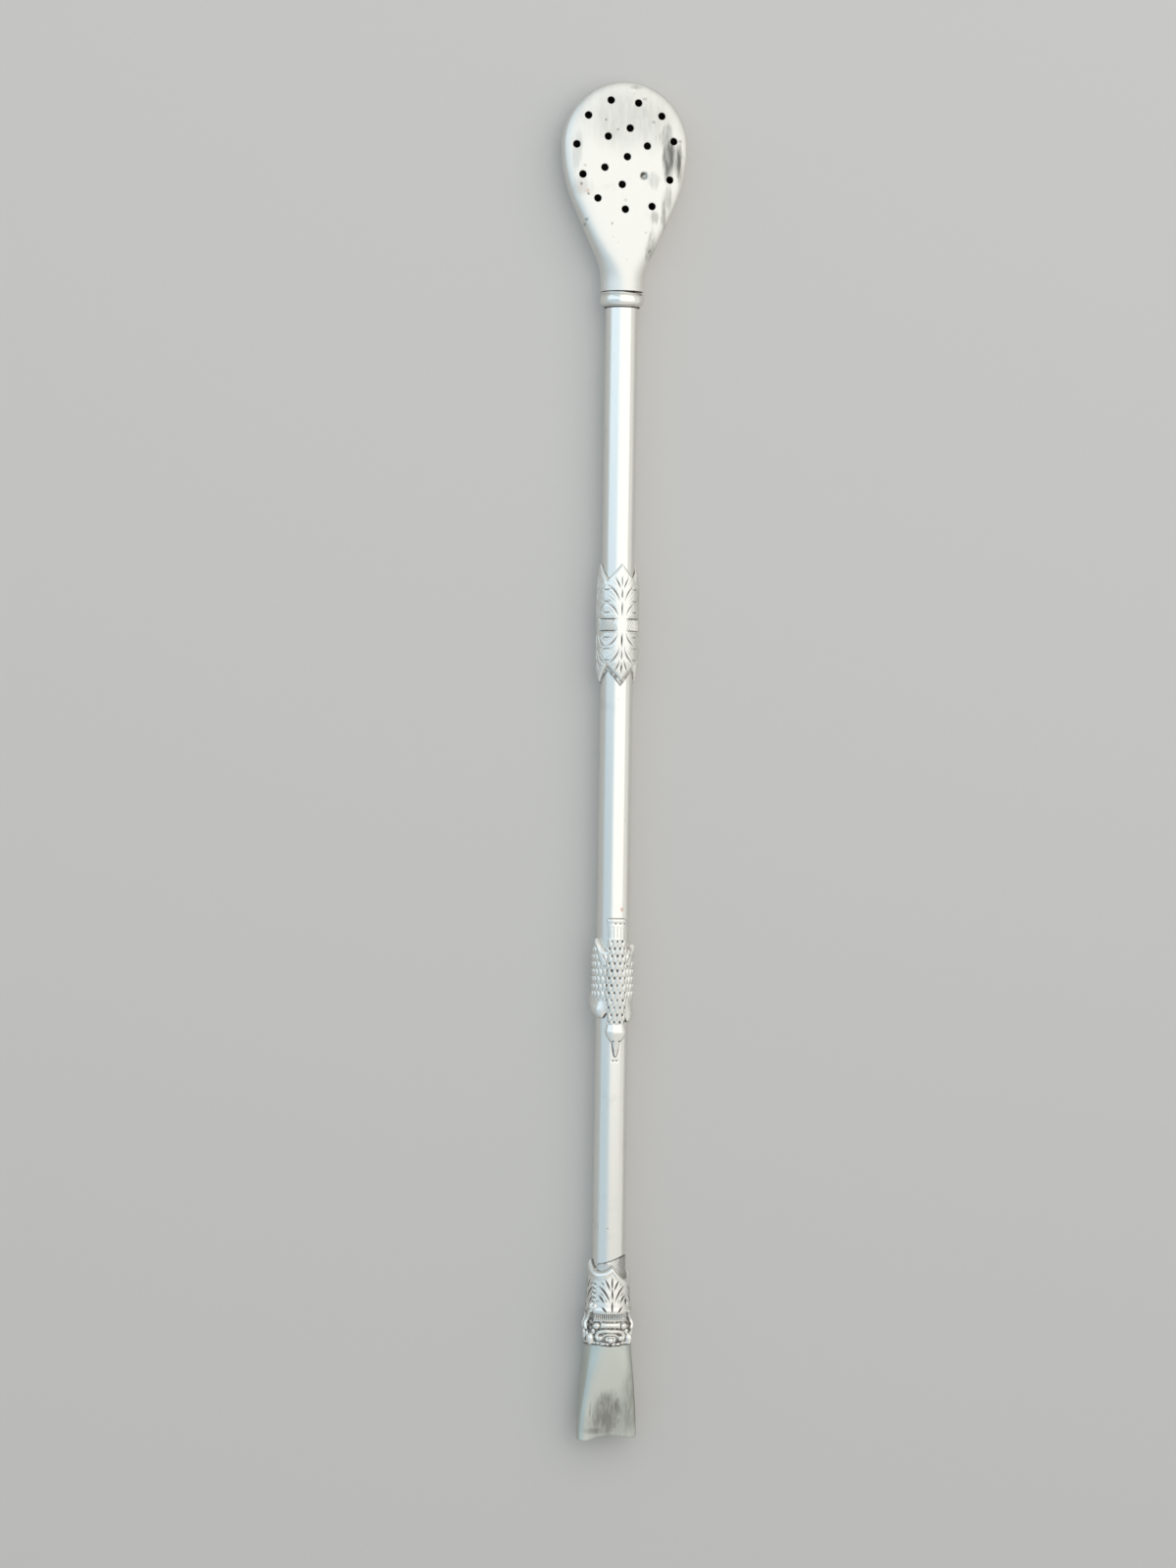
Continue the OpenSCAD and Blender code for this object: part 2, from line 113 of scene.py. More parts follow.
def mix(a: Array, b: Array, t: Array) -> Array:
    """Value a share t of the way from a to b."""
    return a + (b - a) * t


def ridge(distance: Array, width: float) -> Array:
    """Rounded ridge that is 1 at no distance and fades over a width."""
    return np.exp(-((distance / width) ** 2))


def dome(q: Array, power: float) -> Array:
    """Full round over -1 to 1, flatter with a higher power."""
    return np.clip(1.0 - np.abs(q) ** power, 0.0, 1.0) ** (1.0 / power)


def quarter(t: Array) -> Array:
    """Quarter round that rises from 0 to 1, steep first and level last."""
    return np.sqrt(1.0 - (1.0 - t) ** 2)


def through(x: Array, knots: Knots) -> Array:
    """Smooth curve through given knots.

    Args:
        x: Places at which the curve is wanted.
        knots: Pairs of place and value, in rising order of place.

    Returns:
        The curve's values.
    """
    places = np.array([k[0] for k in knots])
    values = np.array([k[1] for k in knots])
    slopes = np.gradient(values, places)
    i = np.clip(np.searchsorted(places, x) - 1, 0, len(places) - 2)
    h = places[i + 1] - places[i]
    t = np.clip((x - places[i]) / h, 0.0, 1.0)
    bend = h * (slopes[i] * t * (1.0 - t) ** 2 - slopes[i + 1] * t * t * (1.0 - t))
    return mix(values[i], values[i + 1], smooth(t)) + bend


def waver(points: Array, size: float) -> Array:
    """Slow unevenness of hand work.

    Args:
        points: Places in space, last axis x, y, z.
        size: Rough width of one swell.

    Returns:
        Values from about -1 to 1.
    """
    k = math.tau / size
    x, y, z = points[..., 0], points[..., 1], points[..., 2]
    swell = np.sin(k * x + 1.7 * np.sin(0.61 * k * y))
    swell = swell + np.sin(0.83 * k * y + 1.3 * np.sin(0.47 * k * z) + 2.1)
    return (swell + np.sin(k * z + 1.1 * np.sin(0.7 * k * x) + 0.6)) / 3.0


def bent_path(line: Knots, count: int) -> Array:
    """Points along a bent line.

    Args:
        line: Start, bend and end of the line.
        count: How many points.

    Returns:
        Places across and along, one row to a point.
    """
    start, bend, end = (np.array(p) for p in line)
    steps = np.linspace(0.0, 1.0, count)[:, None]
    return start * (1 - steps) ** 2 + 2 * bend * steps * (1 - steps) + end * steps**2


def stroke(a: Array, b: Array, line: Knots, width: float) -> tuple[Array, Array]:
    """One cut of a graver along a bent line.

    Args:
        a: Places across.
        b: Places along.
        line: Start, bend and end of the cut.
        width: Half width of the cut at its middle.

    Returns:
        The cut's depth from 0 to 1, and the distance from its line.
    """
    path = bent_path(line, STROKE_POINTS)
    nearest = np.full(a.shape, FAR)
    share = np.zeros(a.shape)
    for k in range(len(path) - 1):
        (pa, pb), (da, db) = path[k], path[k + 1] - path[k]
        t = np.clip(((a - pa) * da + (b - pb) * db) / (da * da + db * db), 0.0, 1.0)
        d = np.hypot(a - pa - t * da, b - pb - t * db)
        closer = d < nearest
        nearest = np.where(closer, d, nearest)
        share = np.where(closer, (k + t) / (len(path) - 1), share)
    taper = 0.35 + 0.65 * np.sin(np.pi * np.clip(share, 0.06, 0.94))
    return ridge(nearest, width * taper) * taper, nearest


def engrave(
    a: Array, b: Array, veins: tuple[Knots, ...], hairs: tuple[Knots, ...], width: float, faint: float
) -> tuple[Array, Array]:
    """Cuts a leaf's veins and, finer and fainter, the hairs between them.

    Args:
        a: Places across.
        b: Places along.
        veins: Lines of the veins.
        hairs: Lines of the hairs.
        width: Half width of a vein.
        faint: Depth of a hair as a share of a vein's.

    Returns:
        Depth of cut from 0 to 1, and the distance from the nearest vein.
    """
    cut = np.zeros(a.shape)
    nearest = np.full(a.shape, FAR)
    for line in veins:
        depth, d = stroke(a, b, line, width)
        cut = np.maximum(cut, depth)
        nearest = np.minimum(nearest, d)
    for line in hairs:
        cut = np.maximum(cut, faint * stroke(a, b, line, HAIR_WIDTH * width)[0])
    return cut, nearest


@dataclass(frozen=True)
class Bench:
    """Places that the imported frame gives."""

    axis_z: float
    stem_r: float
    seat_gap: float = 0.015

    @classmethod
    def read(cls) -> "Bench":
        """Reads the stem's axis and radius off its node."""
        low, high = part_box("stem_tube")
        return cls((low.z + high.z) / 2 / MM, (high.x - low.x) / 2 / MM)

    @property
    def seat(self) -> float:
        """Radius at which rings and sleeves sit on the stem."""
        return self.stem_r + self.seat_gap

    def span(self, node: str) -> tuple[float, float]:
        """Lowest and highest place of a node along the straw."""
        low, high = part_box(node)
        return low.y / MM, high.y / MM

    def half_width(self, node: str) -> float:
        """Half of a node's width."""
        low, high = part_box(node)
        return (high.x - low.x) / 2 / MM

    def wrap(self, phi: Array, r: Array, y: Array) -> Array:
        """Points at angles round the straw, radii and places along it."""
        phi, r, y = np.broadcast_arrays(phi, r, y)
        return np.stack([r * np.sin(phi), y, self.axis_z + r * np.cos(phi)], axis=-1)


def add_sheet(name: str, columns: int, rows: int) -> Piece:
    """Adds a flat sheet of quads, to be bent to its face.

    Args:
        name: Name of the piece.
        columns: Quads across.
        rows: Quads along.

    Returns:
        The sheet, whose points run along each row in turn.
    """
    bpy.ops.object.select_all(action="DESELECT")
    bpy.ops.mesh.primitive_grid_add(
        x_subdivisions=columns, y_subdivisions=rows, size=1, calc_uvs=False, location=(0, 0, 0)
    )
    sheet = bpy.context.object
    sheet.name = name
    sheet.data.name = name
    return sheet


def set_points(piece: Piece, points: Array) -> None:
    """Moves a piece's points to places in millimetres."""
    piece.data.vertices.foreach_set("co", (points * MM).astype(np.float32).ravel())
    piece.data.update()


def get_points(piece: Piece) -> Array:
    """Reads a piece's points.

    Args:
        piece: The piece.

    Returns:
        Their places in millimetres.
    """
    flat = np.zeros(len(piece.data.vertices) * 3, np.float32)
    piece.data.vertices.foreach_get("co", flat)
    return flat.reshape(-1, 3).astype(float) / MM


def set_dirt_and_shade(piece: Piece, cut: Array) -> None:
    """Keeps how dark each point is painted, for grime in its cuts and for painted shade, in the finish."""
    layer = piece.data.attributes.new(DIRT_AND_SHADE_MARK, "FLOAT", "POINT")
    layer.data.foreach_set("value", np.clip(cut, 0.0, 1.0).astype(np.float32).ravel())


def fringe(gone: Array) -> Array:
    """Finds the edge of what is cut away from a sheet.

    Args:
        gone: Which points are gone, by row and by column.

    Returns:
        Which points are gone but touch one that is kept.
    """
    rows, count = gone.shape
    kept = np.pad(~gone, 1)
    near = np.zeros(gone.shape, bool)
    for i in range(3):
        for j in range(3):
            near |= kept[i : i + rows, j : j + count]
    return gone & near


def drop_faces(piece: Piece, gone: Array) -> None:
    """Deletes the faces of a sheet whose points are all gone, in edit mode.

    Args:
        piece: The sheet.
        gone: Which of its points are gone.
    """
    mesh = piece.data
    corners = np.zeros(len(mesh.loops), np.int32)
    mesh.loops.foreach_get("vertex_index", corners)
    drop = gone.ravel()[corners.reshape(-1, 4)].all(axis=1)
    mesh.vertices.foreach_set("select", np.zeros(len(mesh.vertices), bool))
    mesh.edges.foreach_set("select", np.zeros(len(mesh.edges), bool))
    mesh.polygons.foreach_set("select", drop)
    bpy.context.tool_settings.mesh_select_mode = (False, False, True)
    bpy.ops.object.mode_set(mode="EDIT")
    bpy.ops.mesh.delete(type="FACE")
    bpy.ops.object.mode_set(mode="OBJECT")


def weld() -> None:
    """Merges points of the active piece that lie on each other."""
    bpy.ops.object.mode_set(mode="EDIT")
    bpy.ops.mesh.select_all(action="SELECT")
    bpy.ops.mesh.remove_doubles(threshold=WELD_GAP * MM)
    bpy.ops.object.mode_set(mode="OBJECT")


def thicken(piece: Piece, thickness: float) -> None:
    """Gives a sheet a wall on its inner side.

    Args:
        piece: The sheet.
        thickness: Thickness of the wall.
    """
    wall = piece.modifiers.new("wall", "SOLIDIFY")
    wall.thickness = thickness * MM
    wall.offset = -1.0
    bpy.ops.object.modifier_apply(modifier=wall.name)


def cast_sheet(name: str, points: Array, cut: Array, gone: Array, wall: float) -> tuple[Piece, int]:
    """Bends a sheet to its face, cuts it out and gives it a wall.

    Args:
        name: Name of the piece.
        points: Places of the sheet's points, by row and by column.
        cut: How dark each point is painted, by grime in cuts and by painted shade.
        gone: Which points are cut away.
        wall: Thickness of the wall.

    Returns:
        The piece, and how many of its points were the sheet's.
    """
    rows, count = gone.shape
    piece = add_sheet(name, count - 1, rows - 1)
    set_points(piece, points)
    set_dirt_and_shade(piece, cut)
    drop_faces(piece, gone)
    weld()
    outer = len(piece.data.vertices)
    thicken(piece, wall)
    return piece, outer


def shade_inside(piece: Piece, outer: int, amount: float) -> None:
    """Paints the points that a wall has added dark, as painted shade inside the shell.

    Args:
        piece: The thickened piece.
        outer: How many points the sheet had.
        amount: How dark the painted shade on the added points is.
    """
    layer = piece.data.attributes[DIRT_AND_SHADE_MARK]
    cut = np.zeros(len(piece.data.vertices), np.float32)
    layer.data.foreach_get("value", cut)
    cut[outer:] = amount
    layer.data.foreach_set("value", cut)


def polish(piece: Piece) -> None:
    """Shades a piece smooth, with its sharp edges kept.

    Args:
        piece: The piece.
    """
    bpy.ops.object.select_all(action="DESELECT")
    piece.select_set(True)
    bpy.context.view_layer.objects.active = piece
    bpy.ops.object.shade_smooth_by_angle(angle=math.radians(SHARP_ANGLE))


def ring_angles(count: int) -> Array:
    """Angles round the straw of a ring's columns, from -pi to pi, front first."""
    phi = np.linspace(0.0, math.tau, count, endpoint=False)[:, None]
    return np.where(phi > math.pi, phi - math.tau, phi)


def close_ring(name: str, points: Array, cut: Array) -> Piece:
    """Makes a closed ring by rolling a sheet up both ways and welding its edges.

    Args:
        name: Name of the piece.
        points: Places, by column round the straw and by point of the closed section.
        cut: How dark each point is painted, by grime in cuts and by painted shade.

    Returns:
        The ring.
    """
    around, along = cut.shape
    ring = add_sheet(name, around, along)
    set_points(ring, np.pad(points, ((0, 1), (0, 1), (0, 0)), mode="wrap").swapaxes(0, 1))
    set_dirt_and_shade(ring, np.pad(cut, ((0, 1), (0, 1)), mode="wrap").swapaxes(0, 1))
    weld()
    return ring


def turn_section(name: str, bench: Bench, outer: Array, inner: Array, cut: Array) -> Piece:
    """Makes a ring from the places of its outer and inner face.

    Args:
        name: Name of the piece.
        bench: The frame's places.
        outer: Radius and place pairs, up the outer face, for each column.
        inner: Radius and place pairs, down the inner face, for each column.
        cut: How dark each point of the outer face is painted, by grime in cuts and by painted shade.

    Returns:
        The ring.
    """
    section = np.concatenate([outer, inner], axis=1)
    # The inner face is made dark
    dark = np.concatenate([cut, np.full(inner.shape[:2], INNER_DARKNESS)], axis=1)
    points = bench.wrap(ring_angles(len(section)), section[..., 0], section[..., 1])
    return close_ring(name, points, dark)


@dataclass
class SubAssembly:
    """Pieces that are made together and dressed once their finishes are mixed."""

    bench: Bench
    pieces: list[Piece] = field(init=False, default_factory=list)

    def build(self) -> None:
        """Builds the pieces and fits them."""
        raise NotImplementedError

    def seated(self, y: Array) -> Array:
        """Inner face of a sleeve on the stem, from its top row down to its foot."""
        ends = y[:, [-1, 0]]
        return np.stack([np.full(ends.shape, self.bench.seat), ends], axis=-1)

    def fit(self, piece: Piece, node: str, body: Body, slot: Slot) -> None:
        """Sets a finished piece in the frame.

        Args:
            piece: The piece, in place.
            node: CAD node that it stands for.
            body: Body that it rides on.
            slot: Material slot that it takes its finish from.
        """
        polish(piece)
        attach(piece, body.value)
        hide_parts(node)
        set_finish(piece, slot.value)
        self.pieces.append(piece)
        LOG.info("%s: %d points on %s", piece.name, len(piece.data.vertices), body.value)

    def dress(self, finishes: dict[Slot, bpy.types.Material]) -> None:
        """Gives each piece the finish of its slot.

        Args:
            finishes: The mixed finishes, by slot.
        """
        for piece in self.pieces:
            piece.data.materials.clear()
            piece.data.materials.append(finishes[Slot(piece["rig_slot"])])


@dataclass
class Stem(SubAssembly):
    """Drawn tube, neck ring and threaded nipple."""

    around: int = 144
    tube_wall: float = 0.5
    tube_step: float = 1.1
    tube_waver: float = 0.012
    tube_swell: float = 26.0
    # Finer rows round the punched dots: start and end from the beak's tip, and their step
    punch_rows: Triple = (-1.4, 0.3, 0.07)
    punch_angle: float = 6.5
    punch_below: float = 0.6
    punch_r: float = 0.15
    punch_depth: float = 0.12
    ring_rows: int = 60
    ring_bead: Knots = (
        (0.0, 2.80), (0.07, 2.92), (0.13, 2.98), (0.17, 3.22), (0.26, 3.46), (0.42, 3.58), (0.58, 3.59),
        (0.72, 3.53), (0.82, 3.42), (0.88, 3.30), (0.94, 3.42), (1.0, 3.38),
    )
    ring_skew: float = 0.07
    groove_at: float = 0.88
    groove_w: float = 0.09
    groove_dirt: float = 0.45
    # Painted shade on the underside of the bead, along the ring's foot: its width and strength
    foot_shade_w: float = 0.36
    foot_shade: float = 0.8
    # Second parting line beside the seam: angle round the stem, and place from the ring's top
    split_line: Knots = ((-0.2, 0.0), (0.5, -0.16), (1.4, -0.5))
    split_w: float = 0.08
    split_depth: float = 0.12
    thread_rows: int = 90
    thread_pitch: float = 1.0
    thread_depth: float = 0.28
    thread_dirt: float = 0.8
    tail_rows: int = 8
    tail_gap: float = 0.02
    point_l: float = 0.45
    point_drop: float = 0.35
    nipple_bore: float = 1.65
    bore_bevel: tuple[float, float] = (0.18, 0.2)

    def tube(self) -> None:
        """Builds the tube, with two punched dots under the bird's beak."""
        low, high = self.bench.span("stem_tube")
        beak = self.bench.span("bird_sleeve")[0]
        start, end, step = self.punch_rows
        fine = np.arange(beak + start, beak + end, step)
        plain = np.arange(low, high, self.tube_step)
        plain = plain[(plain < fine[0]) | (plain > fine[-1])]
        y = np.unique(np.concatenate([plain, fine, [high]]))[None, :]
        phi = ring_angles(self.around)
        r = np.full((self.around, y.shape[1]), self.bench.stem_r)
        r = r + self.tube_waver * waver(self.bench.wrap(phi, r, y), self.tube_swell)
        cut = np.zeros_like(r)
        for side in (-1, 1):
            a = self.bench.stem_r * (phi - side * math.radians(self.punch_angle))
            cut = np.maximum(cut, ridge(np.hypot(a, y - beak + self.punch_below), self.punch_r))
        r = r - self.punch_depth * cut
        outer = np.stack(np.broadcast_arrays(r, y), axis=-1)
        bore = self.bench.stem_r - self.tube_wall
        inner = np.broadcast_to(np.array([[bore, high], [bore, low]]), (self.around, 2, 2))
        piece = turn_section("tube", self.bench, outer, inner, cut)
        self.fit(piece, "stem_tube", Body.STEM, Slot.STEM)

    def ring(self) -> None:
        """Builds the beaded neck ring, seated a little askew."""
        low, high = self.bench.span("neck_ring")
        phi = ring_angles(self.around)
        t = np.linspace(0.0, 1.0, self.ring_rows)[None, :]
        y = mix(low, high, t) - self.ring_skew * smooth(t) * (1.0 + np.sin(phi))
        r = np.broadcast_to(through(t, self.ring_bead), y.shape)
        split, _ = stroke(phi * np.ones_like(t), y - high, self.split_line, self.split_w)
        groove = self.groove_dirt * ridge((t - self.groove_at) * (high - low), self.groove_w)
        # Painted shade: a darker band along the ring's foot, on the underside of the bead
        foot = self.foot_shade * ridge(t * (high - low), self.foot_shade_w)
        cut = np.maximum(split, np.maximum(groove, foot))
        outer = np.stack([r - self.split_depth * split, y], axis=-1)
        piece = turn_section("neck_bead", self.bench, outer, self.seated(y), cut)
        self.fit(piece, "neck_ring", Body.STEM, Slot.STEM)

    def thread(self, phi: Array, y: Array) -> Array:
        """Depth below the crest of the right-hand thread that nipple and bush share."""
        turn = y / self.thread_pitch - phi / math.tau
        return self.thread_depth * np.clip(1.6 * np.abs(2.0 * (turn - np.floor(turn)) - 1.0) - 0.3, 0.0, 1.0)

    def nipple(self) -> None:
        """Builds the threaded nipple in the stem's end."""
        low, high = self.bench.span("stem_nipple")
        crest = self.bench.half_width("stem_nipple")
        foot = self.bench.span("neck_ring")[1]
        phi = ring_angles(self.around)
        tail_y = np.linspace(low, foot, self.tail_rows)[:-1]
        y = np.concatenate([tail_y, np.linspace(foot, high, self.thread_rows)])[None, :]
        depth = self.thread(phi, y)
        point = self.point_drop * smooth((y - high + self.point_l) / self.point_l)
        tail = self.bench.stem_r - self.tube_wall - self.tail_gap
        r = np.where(y < foot + self.tail_gap, tail, crest - depth - point)
        outer = np.stack(np.broadcast_arrays(r, y), axis=-1)
        bore = self.nipple_bore
        bevel_w, bevel_l = self.bore_bevel
        lip = [[bore + bevel_w, high], [bore, high - bevel_l], [bore, low]]
        inner = np.broadcast_to(np.array(lip), (self.around, 3, 2))
        cut = np.where(y < foot, 0.0, self.thread_dirt * depth / self.thread_depth)
        piece = turn_section("nipple", self.bench, outer, inner, cut)
        self.fit(piece, "stem_nipple", Body.STEM, Slot.THREAD)

    def build(self) -> None:
        """Builds tube, ring and nipple."""
        self.tube()
        self.ring()
        self.nipple()


@dataclass(frozen=True)
class ShellForm:
    """One shell of the strainer: side 1 is the front and -1 the back."""

    name: str
    node: str
    side: int
    depth: float
    power: float
    flat_by: float
    hole_shift: float = 0.0


@dataclass
class Strainer(SubAssembly):
    """Two perforated shells soldered along their rim, with the threaded bush in the neck."""

    stem: Stem
    columns: int = 176
    rows: int = 210
    flank_share: float = 0.66
    wall: float = 0.55
    cap: float = 10.6
    taper: float = 24.5
    side_r: float = 23.0
    fillet_r: float = 9.4
    neck_l: float = 1.5
    neck_r: float = 3.5
    front: ShellForm = ShellForm("bowl_front", "strainer_front", 1, 2.5, 5.2, 9.0)
    back: ShellForm = ShellForm("bowl_back", "strainer_back", -1, 4.2, 2.3, 22.0, 0.45)
    seam: float = 0.03
    seam_w: float = 0.12
    sway: float = 0.05
    sway_size: float = 9.0
    bush_bevel: float = 0.15
    bush_gap: float = 0.05
    lead_w: float = 0.3
    lead_l: float = 0.35
    run_out: float = 0.4
    # Painted shade on the inner faces of the shells
    inside_shade: float = 0.9
    hole_r: float = 0.61
    hole_centre: float = 1.2
    hole_dish: float = 0.05
    hole_dish_w: float = 0.1
    hole_dirt: float = 0.5
    hole_dirt_w: float = 0.09
    plug_hole: int = 5
    plug_edge: float = 0.3
    plug_depth: float = 0.3
    plug_dirt: float = 0.52
    plug_shade: float = 0.3
    # A centre hole, six round it and eleven along the rim, as shares of the half width from the centre hole
    holes: Knots = (
        (0.0, 0.0),
        (0.04, 0.45), (-0.31, 0.31), (0.32, 0.18), (-0.36, -0.18), (0.27, -0.29), (-0.08, -0.44),
        (-0.27, 0.88), (0.17, 0.85), (0.55, 0.66), (0.75, 0.27), (0.69, -0.34), (0.40, -0.77),
        (-0.03, -0.83), (-0.47, -0.67), (-0.71, -0.30), (-0.81, 0.17), (-0.63, 0.63),
    )
    foot: float = field(init=False)
    half_w: float = field(init=False)
    length: float = field(init=False)

    def __post_init__(self) -> None:
        """Takes the bowl's place and size from its node."""
        self.foot, tip = self.bench.span("strainer_front")
        self.length = tip - self.foot
        self.half_w = self.bench.half_width("strainer_front")

    @property
    def wide(self) -> float:
        """Height of the bowl's widest place above the neck's foot."""
        return self.length - self.cap

    def outline(self, u: Array) -> Array:
        """Half width of the bowl below its widest place.

        Args:
            u: Heights above the neck's foot, up to the widest place.

        Returns:
            The half widths.
        """
        lean = math.radians(self.taper)
        fillet_top = self.neck_l + self.fillet_r * math.sin(lean)
        flank_top = self.wide - self.side_r * math.sin(lean)
        v = np.clip(u - self.neck_l, 0.0, self.fillet_r * math.sin(lean))
        hollow = self.neck_r + self.fillet_r - np.sqrt(self.fillet_r**2 - v**2)
        flank = hollow + np.clip(u - fillet_top, 0.0, None) * math.tan(lean)
        w = np.clip(self.wide - u, 0.0, self.side_r * math.sin(lean))
        full = self.half_w - self.side_r + np.sqrt(self.side_r**2 - w**2)
        return np.where(u > flank_top, full, flank)

    def rise(self, x: Array, u: Array, form: ShellForm) -> Array:
        """Height of a shell's face off the seam.

        Args:
            x: Places across the bowl.
            u: Heights above the neck's foot.
            form: Which shell.

        Returns:
            The heights.
        """
        t = smooth((u - self.neck_l) / (self.wide - self.neck_l))
        e = np.clip((u - self.wide) / self.cap, 0.0, 1.0)
        q = np.hypot(x / self.outline(np.minimum(u, self.wide)), e)
        m = mix(2.0, form.power, smooth((u - self.neck_l) / form.flat_by))
        return mix(self.neck_r, form.depth, t) * np.clip(1.0 - np.clip(q, 0, 1) ** m, 0.0, 1.0) ** (1.0 / m)

    def hole_distance(self, x: Array, u: Array) -> tuple[Array, Array, Array, Array]:
        """Finds the nearest hole.

        Args:
            x: Places across the bowl.
            u: Heights above the neck's foot.

        Returns:
            Distance outside the hole's edge, the way out from its middle across and along, and its number.
        """
        centre = self.length - self.hole_centre * self.half_w
        best = np.full(x.shape, FAR)
        out_x, out_u = np.zeros(x.shape), np.zeros(x.shape)
        number = np.zeros(x.shape, int)
        for k, (across, along) in enumerate(self.holes):
            dx, du = x - across * self.half_w, u - centre - along * self.half_w
            d = np.hypot(dx, du)
            near = d - self.hole_r < best
            best = np.where(near, d - self.hole_r, best)
            out_x = np.where(near, dx / np.maximum(d, 1e-6), out_x)
            out_u = np.where(near, du / np.maximum(d, 1e-6), out_u)
            number = np.where(near, k, number)
        return best, out_x, out_u, number

    def shell(self, form: ShellForm) -> None:
        """Builds one perforated shell.

        Args:
            form: Which shell.
        """
        flank_rows = round(self.rows * self.flank_share)
        up_cap = np.linspace(0.0, math.pi / 2, self.rows - flank_rows + 1)[1:]
        up_flank = np.linspace(0.0, self.wide, flank_rows + 1)
        u = np.concatenate([up_flank, self.wide + self.cap * np.sin(up_cap)])
        u = u[:, None] * np.ones((1, self.columns + 1))
        e = np.clip((u - self.wide) / self.cap, 0.0, 1.0)
        turn = np.linspace(math.pi, 0.0, self.columns + 1)[None, :: form.side]
        x = self.outline(np.minimum(u, self.wide)) * np.sqrt(1.0 - e**2) * np.cos(turn)
        d, out_x, out_u, number = self.hole_distance(x + form.hole_shift, u)
        blocked = (number == self.plug_hole) & (form.side > 0)
        gone = (d < 0.0) & ~blocked
        snap = fringe(gone)
        x = x - np.where(snap, d * out_x, 0.0)
        u = u - np.where(snap, d * out_u, 0.0)
        from_hole = np.clip(d, 0.0, None)
        plug = np.where(blocked, smooth(-d / self.plug_edge + 0.3), 0.0)
        h = self.rise(x, u, form)
        off_rim = smooth(np.clip(h / form.depth, 0.0, 1.0) * 1.6 - 0.3)
        h = h + self.sway * off_rim * waver(np.stack([x, u, 0 * x], axis=-1), self.sway_size)
        h = h - self.hole_dish * ridge(from_hole, self.hole_dish_w) - self.plug_depth * plug
        x = x * (1.0 - self.seam / self.half_w * ridge(h, self.seam_w))
        points = np.stack([x, self.foot + u, self.bench.axis_z + form.side * h], axis=-1)
        # Residue in the blocked hole, with painted shade on one side of it
        shaded_side = (out_u - out_x) * smooth((d + 0.6) / 0.45)
        residue_and_shade = plug * (self.plug_dirt + self.plug_shade * shaded_side)
        cut = np.maximum(residue_and_shade, self.hole_dirt * ridge(from_hole, self.hole_dirt_w))
        piece, outer = cast_sheet(form.name, points, cut, gone, self.wall)
        shade_inside(piece, outer, self.inside_shade)
        self.fit(piece, form.node, Body.STRAINER, Slot.BOWL)

    def bush(self) -> None:
        """Builds the threaded bush inside the neck."""
        low, high = self.bench.span("neck_bush")
        around = self.stem.around
        seat = self.bench.half_width("neck_bush")
        crest = self.bench.half_width("stem_nipple") + self.bush_gap
        bevel = self.bush_bevel
        profile = [[seat - bevel, low], [seat, low + bevel], [seat, high - bevel], [seat - bevel, high]]
        outer = np.broadcast_to(np.array(profile), (around, 4, 2))
        y = np.linspace(high, low, self.stem.thread_rows)[None, :]
        depth = self.stem.thread(ring_angles(around), y)
        depth = depth * (1.0 - smooth((low + self.run_out - y) / self.run_out))
        lead = self.lead_w * smooth((low + self.lead_l - y) / self.lead_l)
        inner = np.stack(np.broadcast_arrays(crest - depth + lead, y), axis=-1)
        piece = turn_section("bush", self.bench, outer, inner, np.zeros((around, 4)))
        self.fit(piece, "neck_bush", Body.BUSH, Slot.THREAD)

    def build(self) -> None:
        """Builds both shells and the bush."""
        self.shell(self.front)
        self.shell(self.back)
        self.bush()


